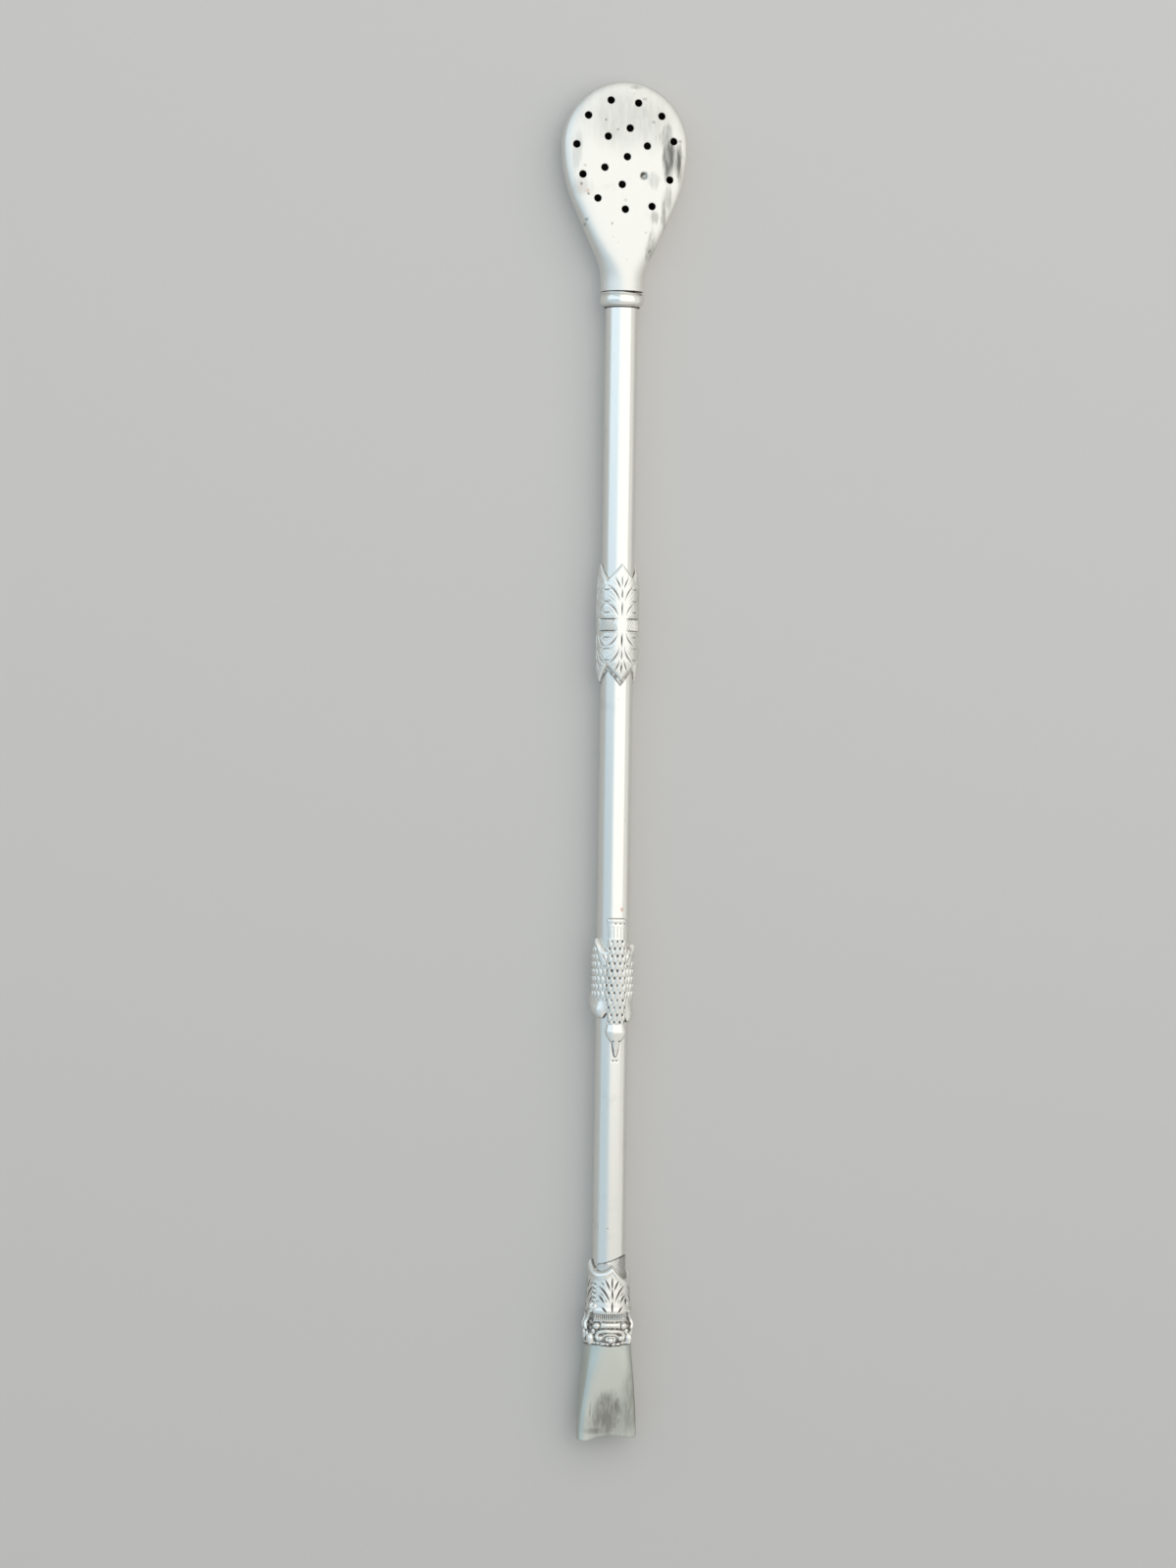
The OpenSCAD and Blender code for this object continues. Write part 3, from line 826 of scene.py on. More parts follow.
@dataclass
class LeafSleeve(SubAssembly):
    """Cast sleeve of four double leaves round a roped band."""

    around: int = 304
    along: int = 300
    leaves: int = 4
    leaf_t: float = 0.85
    notch: float = 2.5
    fall_from: float = 5.4
    fall_l: float = 4.7
    tip_drop: float = 0.4
    edge_w: float = 0.55
    edge_t: float = 0.3
    solder_w: float = 0.9
    solder_t: float = 0.13
    band_half: float = 1.0
    rope_drop: float = 0.22
    rope_belly: float = 0.14
    fillet_w: float = 0.42
    fillet_drop: float = 0.12
    fillet_h: float = 0.16
    line_w: float = 0.08
    line_depth: float = 0.1
    boss_half: float = 1.2
    strands: int = 44
    strand_lean: float = 0.75
    strand_depth: float = 0.12
    vein_depth: float = 0.2
    vein_w: float = 0.07
    hair_depth: float = 0.4
    trough_depth: float = 0.025
    trough_w: float = 0.26
    dashes: tuple[float, ...] = (2.0, 3.8, 5.7)
    dash_w: float = 0.075
    dash_bow: float = 0.16
    dash_depth: float = 0.16
    joint_depth: float = 0.03
    joint_w: float = 0.3
    wobble: float = 0.05
    wobble_size: float = 3.1
    grain: float = 0.012
    grain_size: float = 1.3
    edge_power: float = 0.95
    edge_slope: float = 0.72
    # Cuts on one side of a leaf, across and along from the middle of the sleeve: start, bend and end
    veins: tuple[Knots, ...] = (
        ((0.0, 1.5), (0.03, 2.5), (0.0, 3.6)),
        ((0.0, 4.0), (-0.02, 4.9), (0.0, 5.8)),
        ((0.0, 6.2), (0.0, 7.1), (0.0, 7.95)),
        ((0.34, 5.9), (0.55, 6.7), (1.25, 7.65)),
        ((0.45, 3.8), (0.85, 5.5), (2.5, 6.45)),
        ((0.75, 1.55), (1.2, 2.95), (2.55, 3.5)),
    )
    hairs: tuple[Knots, ...] = (
        ((0.95, 4.0), (1.4, 4.8), (2.55, 5.5)),
        ((1.2, 3.6), (1.7, 4.2), (2.6, 4.75)),
        ((1.6, 3.55), (2.0, 3.9), (2.6, 4.2)),
        ((0.9, 6.1), (1.3, 6.7), (1.9, 7.1)),
        ((1.3, 1.6), (1.8, 2.3), (2.6, 2.75)),
        ((1.8, 1.6), (2.1, 1.9), (2.6, 2.1)),
    )

    def leaf(self, a: Array, b: Array, inside: Array, pitch: float) -> tuple[Array, Array]:
        """Relief of the leaves.

        Args:
            a: Places across from a leaf's midrib, without sign.
            b: Places along from the band's middle, without sign.
            inside: Distance inside the outline.
            pitch: Half width of a leaf.

        Returns:
            Height above the stem, and depth of cut from 0 to 1.
        """
        h = self.leaf_t - self.tip_drop * smooth((b - self.fall_from) / self.fall_l)
        cut, nearest = engrave(a, b, self.veins, self.hairs, self.vein_w, self.hair_depth)
        h = h - self.trough_depth * ridge(nearest, self.trough_w) - self.vein_depth * cut
        gap = pitch - a
        for place in self.dashes:
            bow = b - place - self.dash_bow * np.clip(gap / 0.9, 0.0, 1.0) ** 2
            dash = ridge(bow, self.dash_w * (1.0 + gap)) * smooth((1.1 - gap) / 0.9)
            h = h - self.dash_depth * dash
            cut = np.maximum(cut, 0.6 * dash)
        h = h - self.joint_depth * ridge(gap, self.joint_w)
        rim = np.clip(inside / self.edge_w, 0.0, 1.0)
        return h * mix(self.edge_t, 1.0, quarter(rim)), cut

    def band(self, phi: Array, b: Array) -> tuple[Array, Array]:
        """Relief of the roped band and its fillets.

        Args:
            phi: Angles round the stem.
            b: Places along from the band's middle.

        Returns:
            Height above the stem, and depth of cut from 0 to 1.
        """
        turn = self.strands * phi / math.tau - b / self.strand_lean
        valley = np.abs(np.cos(math.pi * turn)) ** 4
        belly = self.rope_belly * dome(b / self.band_half, 2.0)
        rope = self.leaf_t - self.rope_drop + belly - self.strand_depth * valley
        on_rope = np.abs(b) < self.band_half
        far = np.abs(b) - self.band_half - self.fillet_w / 2
        fillet = self.leaf_t - self.fillet_drop + self.fillet_h * dome(2.0 * far / self.fillet_w, 2.2)
        inner_line = ridge(np.abs(b) - self.band_half, self.line_w)
        line = np.maximum(inner_line, ridge(far - self.fillet_w / 2, self.line_w))
        cut = np.maximum(np.where(on_rope, 0.55 * valley, 0.0), 0.7 * line)
        return np.where(on_rope, rope, fillet) - self.line_depth * line, cut

    def build(self) -> None:
        """Builds the sleeve, with a lip of solder round its lower tips."""
        low, high = self.bench.span("leaf_sleeve")
        centre, half = (low + high) / 2, (high - low) / 2
        step = math.tau / self.leaves
        reach = self.bench.stem_r + self.leaf_t
        pitch = reach * step / 2
        phi = ring_angles(self.around)
        a = reach * np.abs(phi - step * np.round(phi / step))
        edge = half - self.notch * (a / pitch) ** self.edge_power
        b = edge * np.linspace(-1.0, 1.0, self.along)[None, :]
        across = a * np.ones_like(b)
        place = self.bench.wrap(phi, reach, b)
        wobble = self.wobble * waver(place, self.wobble_size)
        leaf_edge = edge - np.where(b < 0.0, self.solder_w, 0.0)
        inside = self.edge_slope * (leaf_edge - np.abs(b)) + 0.04 * waver(place, 1.9)
        h, cut = self.leaf(np.abs(across + wobble), np.abs(b + wobble), inside, pitch)
        band_h, band_cut = self.band(phi, b)
        boss = smooth((self.boss_half + 0.5 - across - 0.15 * np.abs(b)) / 0.95)
        in_band = smooth((self.band_half + self.fillet_w - np.abs(b)) / 0.08) * (1.0 - boss)
        h = mix(h, band_h, in_band)
        cut = mix(cut, band_cut, in_band)
        h = h + self.grain * waver(place, self.grain_size)
        on_solder = smooth((0.06 - inside) / 0.1) * smooth(-b - 3.0)
        solder = self.solder_t * (0.7 + 0.5 * waver(place, 0.9)) * smooth((b + edge) / 0.3 + 0.15)
        h = mix(h, solder, on_solder)
        cut = np.maximum(cut, on_solder * (0.5 + 0.15 * waver(place, 1.1)))
        outer = np.stack([self.bench.stem_r + h, centre + b], axis=-1)
        piece = turn_section("leaf_casting", self.bench, outer, self.seated(centre + b), cut)
        self.fit(piece, "leaf_sleeve", Body.STEM, Slot.RELIEF)


@dataclass
class BirdSleeve(SubAssembly):
    """Cast bird whose wings wrap the stem, its beak to the mouth end."""

    columns: int = 300
    rows: int = 300
    edge: float = 0.3
    thinnest: float = 0.16
    sheet_t: float = 0.1
    reach_t: float = 0.4
    trim_rounds: int = 4
    trim_most: float = 0.1
    # Half width and height of head, body and tail above the stem, by the distance from the beak's tip
    widths: Knots = (
        (0.0, 0.14), (0.14, 0.25), (0.5, 0.38), (1.0, 0.51), (1.7, 0.63), (2.3, 0.73), (2.6, 0.96),
        (3.0, 1.28), (3.5, 1.58), (4.1, 1.72), (4.9, 1.58), (5.6, 1.46), (7.0, 1.5), (9.5, 1.72),
        (13.0, 1.75), (16.5, 1.6), (19.5, 1.52), (21.3, 1.62), (22.5, 1.72),
    )
    heights: Knots = (
        (0.0, 0.34), (1.2, 0.6), (2.3, 0.78), (2.6, 0.92), (3.0, 1.14), (3.6, 1.38), (4.2, 1.42),
        (4.9, 1.25), (5.5, 1.08), (6.5, 1.05), (8.5, 1.12), (12.0, 1.1), (15.0, 0.95), (18.0, 0.76),
        (21.0, 0.6), (22.5, 0.5),
    )
    tail_z: float = 22.5
    tail_corner: float = 0.5
    tail_dots: tuple[float, ...] = (-0.27, 0.52, 1.28)
    dots_z: float = 21.6
    dot_r: float = 0.17
    eye: tuple[float, float] = (0.45, 2.62)
    eye_r: float = 0.14
    cheek: Knots = ((0.78, 2.5), (0.55, 1.5), (0.25, 0.4))
    cheek_w: float = 0.14
    shoulder: float = 5.95
    shoulder_skew: float = 0.3
    shoulder_bulge: float = 0.28
    wing_t: float = 0.66
    right_lag: float = 0.9
    tip_angle: float = 73.0
    tip_z: float = 19.3
    fork_angle: float = 38.0
    fork_z: float = 17.3
    # Wings' rear edge round the stem: angle, and distance from the beak's tip
    flank_edge: Knots = ((90.0, 17.9), (104.0, 16.9), (130.0, 14.8), (180.0, 12.5))
    # Shoulder's edge falls back beside the neck and round the stem: from which angle, and how far
    neck_fall: tuple[float, float] = (46.0, 0.8)
    side_fall: tuple[float, float] = (58.0, 1.3)
    blade_foot: tuple[float, float] = (37.0, 15.1)
    blade_w: float = 0.44
    blade_t: float = 0.24
    blade_edge: float = 0.24
    row_h: float = 1.19
    scale_w: float = 0.78
    scale_lift: float = 0.15
    scale_belly: float = 0.13
    scale_notch: float = 0.14
    # From and to, by the distance from the beak's tip
    back_span: tuple[float, float] = (5.2, 19.3)
    crease_span: tuple[float, float] = (6.2, 10.0)
    line_span: tuple[float, float] = (18.8, 21.2)
    pale_span: tuple[float, float] = (9.0, 21.0)
    wings_z: float = 9.0
    lip_z: float = 22.05
    lip_t: float = 0.06
    beak_z: float = 2.9
    # Width of the painted shadow along the casting's outline, and how much wider it is round the beak
    edge_shadow_w: float = 0.1
    beak_shadow_w: float = 0.11
    line_gap: float = 0.62
    line_depth: float = 0.05
    crease_w: float = 0.07
    crease_depth: float = 0.06
    dot_depth: float = 0.14
    mark_depth: float = 0.12

    @property
    def reach(self) -> float:
        """Radius at which places across are measured."""
        return self.bench.stem_r + self.reach_t

    def sided(self, phi: Array) -> Array:
        """-1 on the left wing and 1 on the right one, fading on the back and behind the stem."""
        return np.clip(phi / 0.5, -1.0, 1.0) * smooth((150.0 - np.degrees(np.abs(phi))) / 45.0)

    def lag(self, phi: Array) -> Array:
        """How much lower the right wing's tip is."""
        return self.right_lag * smooth((np.degrees(phi) - self.fork_angle) / 25.0) * self.sided(phi)

    def rear_edge(self, phi: Array) -> Array:
        """Where the wings end behind.

        Args:
            phi: Angles round the stem.

        Returns:
            Distances from the beak's tip.
        """
        angle, tip = self.tip_angle, self.tip_z
        knots = (
            (0.0, self.fork_z), (self.fork_angle, self.fork_z), (angle - 3.0, tip - 0.08), (angle, tip),
            (angle + 4.0, tip - 0.35), *self.flank_edge,
        )
        edge = np.interp(np.degrees(np.abs(phi)), [k[0] for k in knots], [k[1] for k in knots])
        return edge - self.lag(phi)

    def to_rear(self, phi: Array, z: Array) -> Array:
        """Distance from the wings' rear edge."""
        return 0.75 * (self.rear_edge(phi) - z)

    def front_edge(self, phi: Array) -> Array:
        """Where the wings start at the shoulders.

        Args:
            phi: Angles round the stem.

        Returns:
            Distances from the beak's tip.
        """
        deg = np.degrees(np.abs(phi))
        level = self.shoulder - self.shoulder_skew * self.sided(phi)
        (neck, neck_l), (side, side_l) = self.neck_fall, self.side_fall
        return level + neck_l * smooth((neck - deg) / 18.0) + side_l * smooth((deg - side) / 50.0)

    def inside(self, phi: Array, z: Array) -> Array:
        """Distance inside the bird's outline.

        Args:
            phi: Angles round the stem.
            z: Distances from the beak's tip.

        Returns:
            Distances, less than nothing outside.
        """
        past = np.clip((z - self.tail_z + self.tail_corner) / self.tail_corner, 0.0, 1.0)
        corner = self.tail_corner * (1.0 - np.sqrt(np.clip(1.0 - past**2, 0.0, 1.0)))
        body = through(z, self.widths) - corner - np.abs(self.reach * phi)
        body = np.minimum(body, np.minimum(z, self.tail_z - z))
        wing = np.minimum(z - self.front_edge(phi), self.to_rear(phi, z))
        return np.maximum(body, wing)

    def scales(self, arc: Array, z: Array) -> tuple[Array, Array]:
        """Rows of feathers that lap towards the tail.

        Args:
            arc: Places across.
            z: Distances from the beak's tip.

        Returns:
            Height on the ground of the feathers, and how dark each point is painted from 0 to 1: grime in the
            notches and painted shadow under the feathers' edges.
        """
        row = np.floor(z / self.row_h)
        t = z / self.row_h - row
        lane = arc / self.scale_w - 0.5 * (row % 2)
        near = 2.0 * (lane - np.round(lane))
        under = arc / self.scale_w - 0.5 * ((row + 1) % 2)
        under = 2.0 * (under - np.round(under))
        inside = 1.0 - (np.abs(near) ** 1.9 + t**2.6) ** 0.45
        upper = self.scale_lift * t + self.scale_belly * (1.0 - near**2)
        lower = self.scale_lift * (t - 1.0) + self.scale_belly * (1.0 - under**2)
        uneven = 0.86 + 0.26 * np.sin(2.3 * row + 5.1 * np.round(lane)) * np.cos(1.7 * row)
        notch = ridge(np.abs(near) - 1.0, 0.1 + 0.45 * t) * ridge(t - 0.78, 0.26)
        # Painted shadow under the edge of each feather; the notches hold grime
        line = ridge(inside + 0.05, 0.08) * smooth((t - 0.2) / 0.4)
        pit = np.maximum(notch * uneven, 0.4 * line)
        return mix(lower, upper, smooth(inside / 0.16 + 0.5)) - self.scale_notch * notch, pit

    def body_height(self, z: Array, arc: Array) -> Array:
        """Height of head, body and tail.

        Args:
            z: Distances from the beak's tip.
            arc: Places across.

        Returns:
            Heights above the stem, nothing beside the body.
        """
        q = arc / through(z, self.widths)
        body = np.where(np.abs(q) < 1.0, mix(self.edge, through(z, self.heights), dome(q, 2.4)), 0.0)
        return body * smooth(np.clip((self.tail_z - z) / 0.22, 0.0, 1.0) * 0.6 + 0.4)

    def wing_height(self, phi: Array, z: Array, blade: Array) -> tuple[Array, Array]:
        """Height of the wings, full at the shoulders.

        Args:
            phi: Angles round the stem.
            z: Distances from the beak's tip.
            blade: How far the long feather stands up.

        Returns:
            Heights above the stem, and which points are on a wing.
        """
        from_front = z - self.front_edge(phi)
        to_rear = self.to_rear(phi, z)
        front = np.clip(from_front / 1.05, 0.0, 1.0)
        rear = np.clip(to_rear / 0.42, 0.0, 1.0)
        bulge = self.shoulder_bulge * (1.0 - 0.5 * self.sided(phi))
        bulge = bulge * smooth((np.degrees(np.abs(phi)) - 32.0) / 24.0)
        wing = self.wing_t * (0.28 + 0.72 * quarter(front))
        wing = wing + bulge * ridge(from_front - 1.3, 1.15) * smooth(front * 1.6)
        wing = wing * (0.25 + 0.75 * quarter(rear))
        on_wing = np.minimum(from_front, to_rear) > -0.2
        return np.where(on_wing, wing + self.blade_t * blade, 0.0), on_wing

    def punches(self, arc: Array, z: Array) -> tuple[Array, Array]:
        """Dots on the tail, and eyes and cheek lines on the head.

        Args:
            arc: Places across.
            z: Distances from the beak's tip.

        Returns:
            Depth of the dots and of the head's marks, from 0 to 1.
        """
        dots, marks = np.zeros(z.shape), np.zeros(z.shape)
        for place in self.tail_dots:
            dots = np.maximum(dots, ridge(np.hypot(arc - place, 1.6 * (z - self.dots_z)), self.dot_r))
        for side in (-1, 1):
            eye = np.hypot(0.7 * (arc - side * self.eye[0]), z - self.eye[1])
            cheek = tuple((side * across, along) for across, along in self.cheek)
            marks = np.maximum(marks, ridge(eye, self.eye_r))
            marks = np.maximum(marks, stroke(arc, z, cheek, self.cheek_w)[0])
        return dots, marks

    def relief(self, phi: Array, z: Array, arc: Array) -> tuple[Array, Array]:
        """Height of the whole bird above the stem.

        Args:
            phi: Angles round the stem.
            z: Distances from the beak's tip.
            arc: Places across, along the stem's face.

        Returns:
            Height above the stem, and how dark each point is painted from 0 to 1, by grime in cuts and by
            painted shadow.
        """
        body = self.body_height(z, arc)
        blade, rim = self.blade(phi, z)
        wing, on_wing = self.wing_height(phi, z, blade)
        to_rear = self.to_rear(phi, z)
        on_body = np.where(body > wing, 1.0, 0.0)
        feathers, pits = self.scales(arc, z)
        start, end = self.back_span
        on_back = smooth((z - start) / 0.4) * smooth((end - z) / 0.5) * on_body
        spread = smooth((z - self.wings_z) / 0.7) * (1.0 - smooth(blade * 4.0))
        on_wings = spread * smooth((to_rear - 0.3) / 0.3) * (1.0 - on_body)
        h = np.maximum(body, wing) + np.maximum(on_back, 0.7 * on_wings) * feathers
        cut = np.maximum(on_back, 0.42 * on_wings) * pits
        start, end = self.crease_span
        crease = ridge(body - wing, self.crease_w) * smooth((z - start) / 0.6) * smooth((end - z) / 2.0)
        start, end = self.line_span
        lines = np.abs(np.cos(math.pi * arc / self.line_gap)) ** 10
        lines = lines * smooth((z - start) / 0.5) * smooth((end - z) / 0.2) * on_body
        dots, marks = self.punches(arc, z)
        lip = ridge(z - self.lip_z, 0.25) * on_body
        h = h - self.crease_depth * crease - self.line_depth * lines + self.lip_t * lip
        h = h - self.dot_depth * dots - self.mark_depth * marks
        # Painted shadow: a dark line along the casting's outline at head and tail, where it meets the stem
        start, end = self.pale_span
        ends = np.maximum(smooth((start - z) / 2.0), smooth((z - end) / 0.6))
        edge_w = self.edge_shadow_w + self.beak_shadow_w * smooth((self.beak_z - z) / 0.6)
        outline = 0.85 * ridge(self.inside(phi, z) / edge_w, 1.0) * ends
        # Painted shadow: a dark line along the edge of the long feather
        blade_shadow = ridge(rim, 0.11) * (1.0 - on_body) * on_wing * smooth((to_rear - 0.5) / 0.2)
        cut = np.max([cut, 0.5 * crease, 0.5 * lines, dots, marks, outline, 0.6 * blade_shadow], axis=0)
        return h, cut

    def blade(self, phi: Array, z: Array) -> tuple[Array, Array]:
        """Smooth long feather along the wing's rear edge.

        Args:
            phi: Angles round the stem.
            z: Distances from the beak's tip.

        Returns:
            How far the feather stands up, from 0 to 1, and the distance outside its edge.
        """
        reach = self.bench.stem_r + self.wing_t
        foot = np.array([reach * math.radians(self.blade_foot[0]), self.blade_foot[1]])
        way = np.array([reach * math.radians(self.tip_angle), self.tip_z]) - foot
        a = reach * np.abs(phi) - foot[0]
        b = z + self.lag(phi) - foot[1]
        share = np.clip((a * way[0] + b * way[1]) / (way @ way), 0.0, 1.0)
        away = np.hypot(a - share * way[0], b - share * way[1]) - self.blade_w * (1.0 - 0.8 * share**1.5)
        return smooth(0.5 - away / self.blade_edge), away

    def trim(self, phi: Array, z: Array, edge: Array) -> tuple[Array, Array]:
        """Moves points of the edge on to the bird's outline.

        Args:
            phi: Angles round the stem.
            z: Distances from the beak's tip.
            edge: Which points are moved.

        Returns:
            The new angles and distances.
        """
        small = 0.01
        for _ in range(self.trim_rounds):
            f = self.inside(phi, z)
            up = (self.inside(phi, z + small) - f) / small
            side = (self.inside(phi + small / self.reach, z) - f) / small
            move = f / np.maximum(up**2 + side**2, 0.3)
            move = np.clip(move, -self.trim_most, self.trim_most) * edge
            z = z - move * up
            phi = phi - np.where(np.abs(phi) < 3.1, move * side / self.reach, 0.0)
        return phi, z

    def build(self) -> None:
        """Builds the bird as one casting, filled down to the stem."""
        low, high = self.bench.span("bird_sleeve")
        phi = np.linspace(-math.pi, math.pi, self.columns + 1)[None, :] * np.ones((self.rows + 1, 1))
        z = np.linspace(0.0, high - low, self.rows + 1)[:, None] * np.ones((1, self.columns + 1))
        gone = self.inside(phi, z) < 0.0
        phi, z = self.trim(phi, z, fringe(gone))
        h, cut = self.relief(phi, z, self.reach * phi)
        h = np.maximum(h, self.thinnest)
        face = self.bench.wrap(phi, self.bench.stem_r + h, low + z)
        piece, count = cast_sheet("bird_casting", face, cut, gone, self.sheet_t)
        points = get_points(piece)
        points[..., 2] -= self.bench.axis_z
        r = np.hypot(points[:, 0], points[:, 2])
        lower = np.arange(len(points)) >= count
        if r[:count].mean() < r[count:].mean():
            lower = ~lower
        shrink = np.where(lower, self.bench.seat / r, 1.0)
        points[:, 0] *= shrink
        points[:, 2] = points[:, 2] * shrink + self.bench.axis_z
        set_points(piece, points)
        self.fit(piece, "bird_sleeve", Body.STEM, Slot.RELIEF)


@dataclass
class MouthCollar(SubAssembly):
    """Cast collar: garland edge, scrolls and buds, flutes, and a crown of leaves with rolled rims."""

    around: int = 336
    along: int = 288
    leaves: int = 4
    leaf_twist: float = -1.0
    panels: int = 2
    band_twist: float = -5.0
    reach: float = 3.75
    tip: float = 12.7
    tip_tilt: float = 0.9
    notch: float = 1.5
    rim_w: float = 0.6
    rim_t: float = 0.2
    rim_fade: float = 0.55
    lap_l: float = 0.2
    lap_t: float = 0.2
    flute_span: tuple[float, float] = (3.92, 5.0)
    flutes: int = 64
    flute_depth: float = 0.15
    # Radius of the collar's body by the place along it
    body: Knots = (
        (-0.4, 3.6), (0.0, 3.68), (0.5, 3.74), (1.5, 3.76), (3.7, 3.76), (3.85, 3.68), (5.0, 3.68),
        (5.15, 3.76), (6.0, 3.68), (8.0, 3.55), (10.0, 3.42), (11.5, 3.32), (12.7, 3.2), (15.2, 2.95),
    )
    vein_w: float = 0.19
    vein_depth: float = 0.26
    hair_depth: float = 0.7
    trough_depth: float = 0.1
    trough_w: float = 0.32
    # Cuts on one side of a leaf, across from its middle and along from the foot: start, bend and end
    veins: tuple[Knots, ...] = (
        ((0.0, 4.9), (0.0, 6.0), (0.0, 7.3)),
        ((0.0, 7.0), (0.0, 8.0), (0.0, 9.2)),
        ((0.0, 8.8), (0.0, 9.9), (0.0, 11.1)),
        ((0.36, 8.6), (0.7, 9.7), (1.5, 10.6)),
        ((0.4, 6.5), (1.0, 8.8), (2.75, 9.6)),
        ((1.3, 6.5), (1.85, 7.5), (2.65, 8.1)),
        ((0.85, 4.95), (1.3, 5.7), (1.95, 6.15)),
    )
    hairs: tuple[Knots, ...] = (
        ((1.25, 9.3), (1.65, 9.8), (2.25, 10.2)),
        ((1.35, 7.6), (1.8, 8.1), (2.4, 8.55)),
        ((0.9, 6.6), (1.1, 7.0), (1.35, 7.5)),
        ((2.2, 6.8), (2.45, 6.95), (2.75, 7.05)),
        ((0.28, 10.9), (0.4, 11.2), (0.6, 11.4)),
    )
    # Raised strokes on one side of the middle: start, bend and end, with the stroke's half width
    scrolls: tuple[tuple[Knots, float], ...] = (
        (((0.0, 2.15), (1.3, 2.3), (1.95, 1.95)), 0.3),
        (((1.95, 1.95), (2.5, 1.5), (2.2, 0.95)), 0.28),
        (((2.2, 0.95), (1.95, 0.7), (1.75, 0.95)), 0.26),
        (((0.0, 1.62), (0.9, 1.65), (1.25, 1.25)), 0.15),
        (((0.0, 1.27), (0.55, 1.25), (0.75, 1.0)), 0.12),
        (((3.45, 5.5), (3.9, 5.0), (4.4, 4.5)), 0.36),
        (((4.4, 4.5), (5.1, 3.8), (4.6, 2.6)), 0.34),
    )
    scroll_points: int = 13
    # Raised knobs: across, along, half width across, half width along, height
    knobs: tuple[tuple[float, ...], ...] = (
        (0.0, 0.68, 0.52, 0.44, 0.36), (0.66, 0.72, 0.24, 0.26, 0.22), (2.34, 3.0, 0.58, 0.5, 0.36),
        (1.72, 1.0, 0.42, 0.42, 0.36), (3.55, 0.85, 0.68, 1.05, 0.72), (1.35, 0.1, 0.42, 0.19, 0.2),
        (2.2, 0.22, 0.36, 0.19, 0.2), (0.55, 0.06, 0.3, 0.18, 0.16), (2.95, 2.1, 0.34, 0.42, 0.24),
        (2.85, 0.2, 0.3, 0.19, 0.2), (5.89, 1.5, 0.7, 0.9, 0.4), (4.6, 1.6, 0.42, 0.42, 0.3),
        (4.7, 0.25, 0.5, 0.2, 0.2), (5.6, 0.2, 0.35, 0.19, 0.2),
    )
    # Rolled leaf tip at the left: angle round the stem and place along, with its half widths
    curl: tuple[float, float] = (-56.0, 6.1)
    curl_size: tuple[float, float] = (0.9, 0.66)
    # Stack of ribs between the leaves at the left: from and to along, and the height of one
    ribs: tuple[float, float] = (6.9, 10.1)
    rib_h: float = 0.76
    rib_sides: tuple[float, float] = (0.3, 1.05)
    rib_bow: float = 0.3
    rib_t: float = 0.12
    rib_depth: float = 0.24
    curl_t: float = 0.42
    eye: tuple[float, float] = (0.25, 0.3)
    eye_w: float = 0.26
    eye_depth: float = 0.3
    # Punched pit between the leaves at the right: its place along and its half widths
    pit_b: float = 6.9
    pit_size: tuple[float, float] = (0.34, 0.55)
    pit_depth: float = 0.32
    gap_w: float = 0.2
    gap_depth: float = 0.07
    # Solder above the leaves: its edge at the back and in front, and the angles where it starts and ends
    solder_back: float = 10.6
    solder_front: float = 2.4
    solder_rise: float = 1.35
    solder_span: tuple[float, float] = (-75.0, 150.0)
    solder_bed: float = 0.03
    solder_t: float = 0.06
    solder_lumps: float = 0.035
    # Edge over the mouthpiece: how far it laps, how much less at the right, and its waves
    foot_lap: float = 0.32
    foot_lift: float = 0.3
    foot_wave: float = 0.05
    foot_waves: float = 13.0
    bar_half: float = 1.5
    bar_b: float = 3.16
    bar_w: float = 0.44
    bar_t: float = 0.3
    # Scrolls that stand beside the flutes: from which place across, and up to which place along
    beside: tuple[float, float] = (2.95, 5.6)
    wobble: float = 0.05
    wobble_size: float = 2.7
    grain: float = 0.012
    grain_size: float = 1.3
    edge_slope: float = 0.78
    edge_t: float = 0.1

    def across(self, phi: Array, twist: float, count: int) -> Array:
        """Places across from the middle of the nearest leaf or panel.

        Args:
            phi: Angles round the stem.
            twist: Angle of the first middle in degrees.
            count: How many leaves or panels there are.

        Returns:
            The places, with sign.
        """
        step = math.tau / count
        turned = phi - math.radians(twist)
        return self.reach * (turned - step * np.round(turned / step))

    def crown_edge(self, phi: Array, a: Array, pitch: float) -> Array:
        """Top edge of the crown, pointed at the leaves, hollow between them and a little askew."""
        x = np.clip(a / pitch, 0.0, 1.0)
        return self.tip - self.tip_tilt * np.sin(phi) - self.notch * (1.0 - (1.0 - x) ** 2)

    def solder_edge(self, phi: Array) -> Array:
        """How far the solder runs up the stem past the leaf tips.

        Args:
            phi: Angles round the stem.

        Returns:
            Places along from the collar's foot.
        """
        deg = np.degrees(phi)
        start, end = self.solder_span
        there = smooth((deg - start) / 25.0) * smooth((end - deg) / 50.0)
        rise = self.solder_rise * smooth((deg + 55.0) / 120.0)
        return self.solder_back + there * (self.solder_front + rise)

    def foot_edge(self, phi: Array) -> Array:
        """Lower edge of the collar, which laps over the mouthpiece."""
        lift = self.foot_lift * smooth((np.degrees(phi) - 5.0) / 40.0)
        return -self.foot_lap + lift + self.foot_wave * np.sin(self.foot_waves * phi)

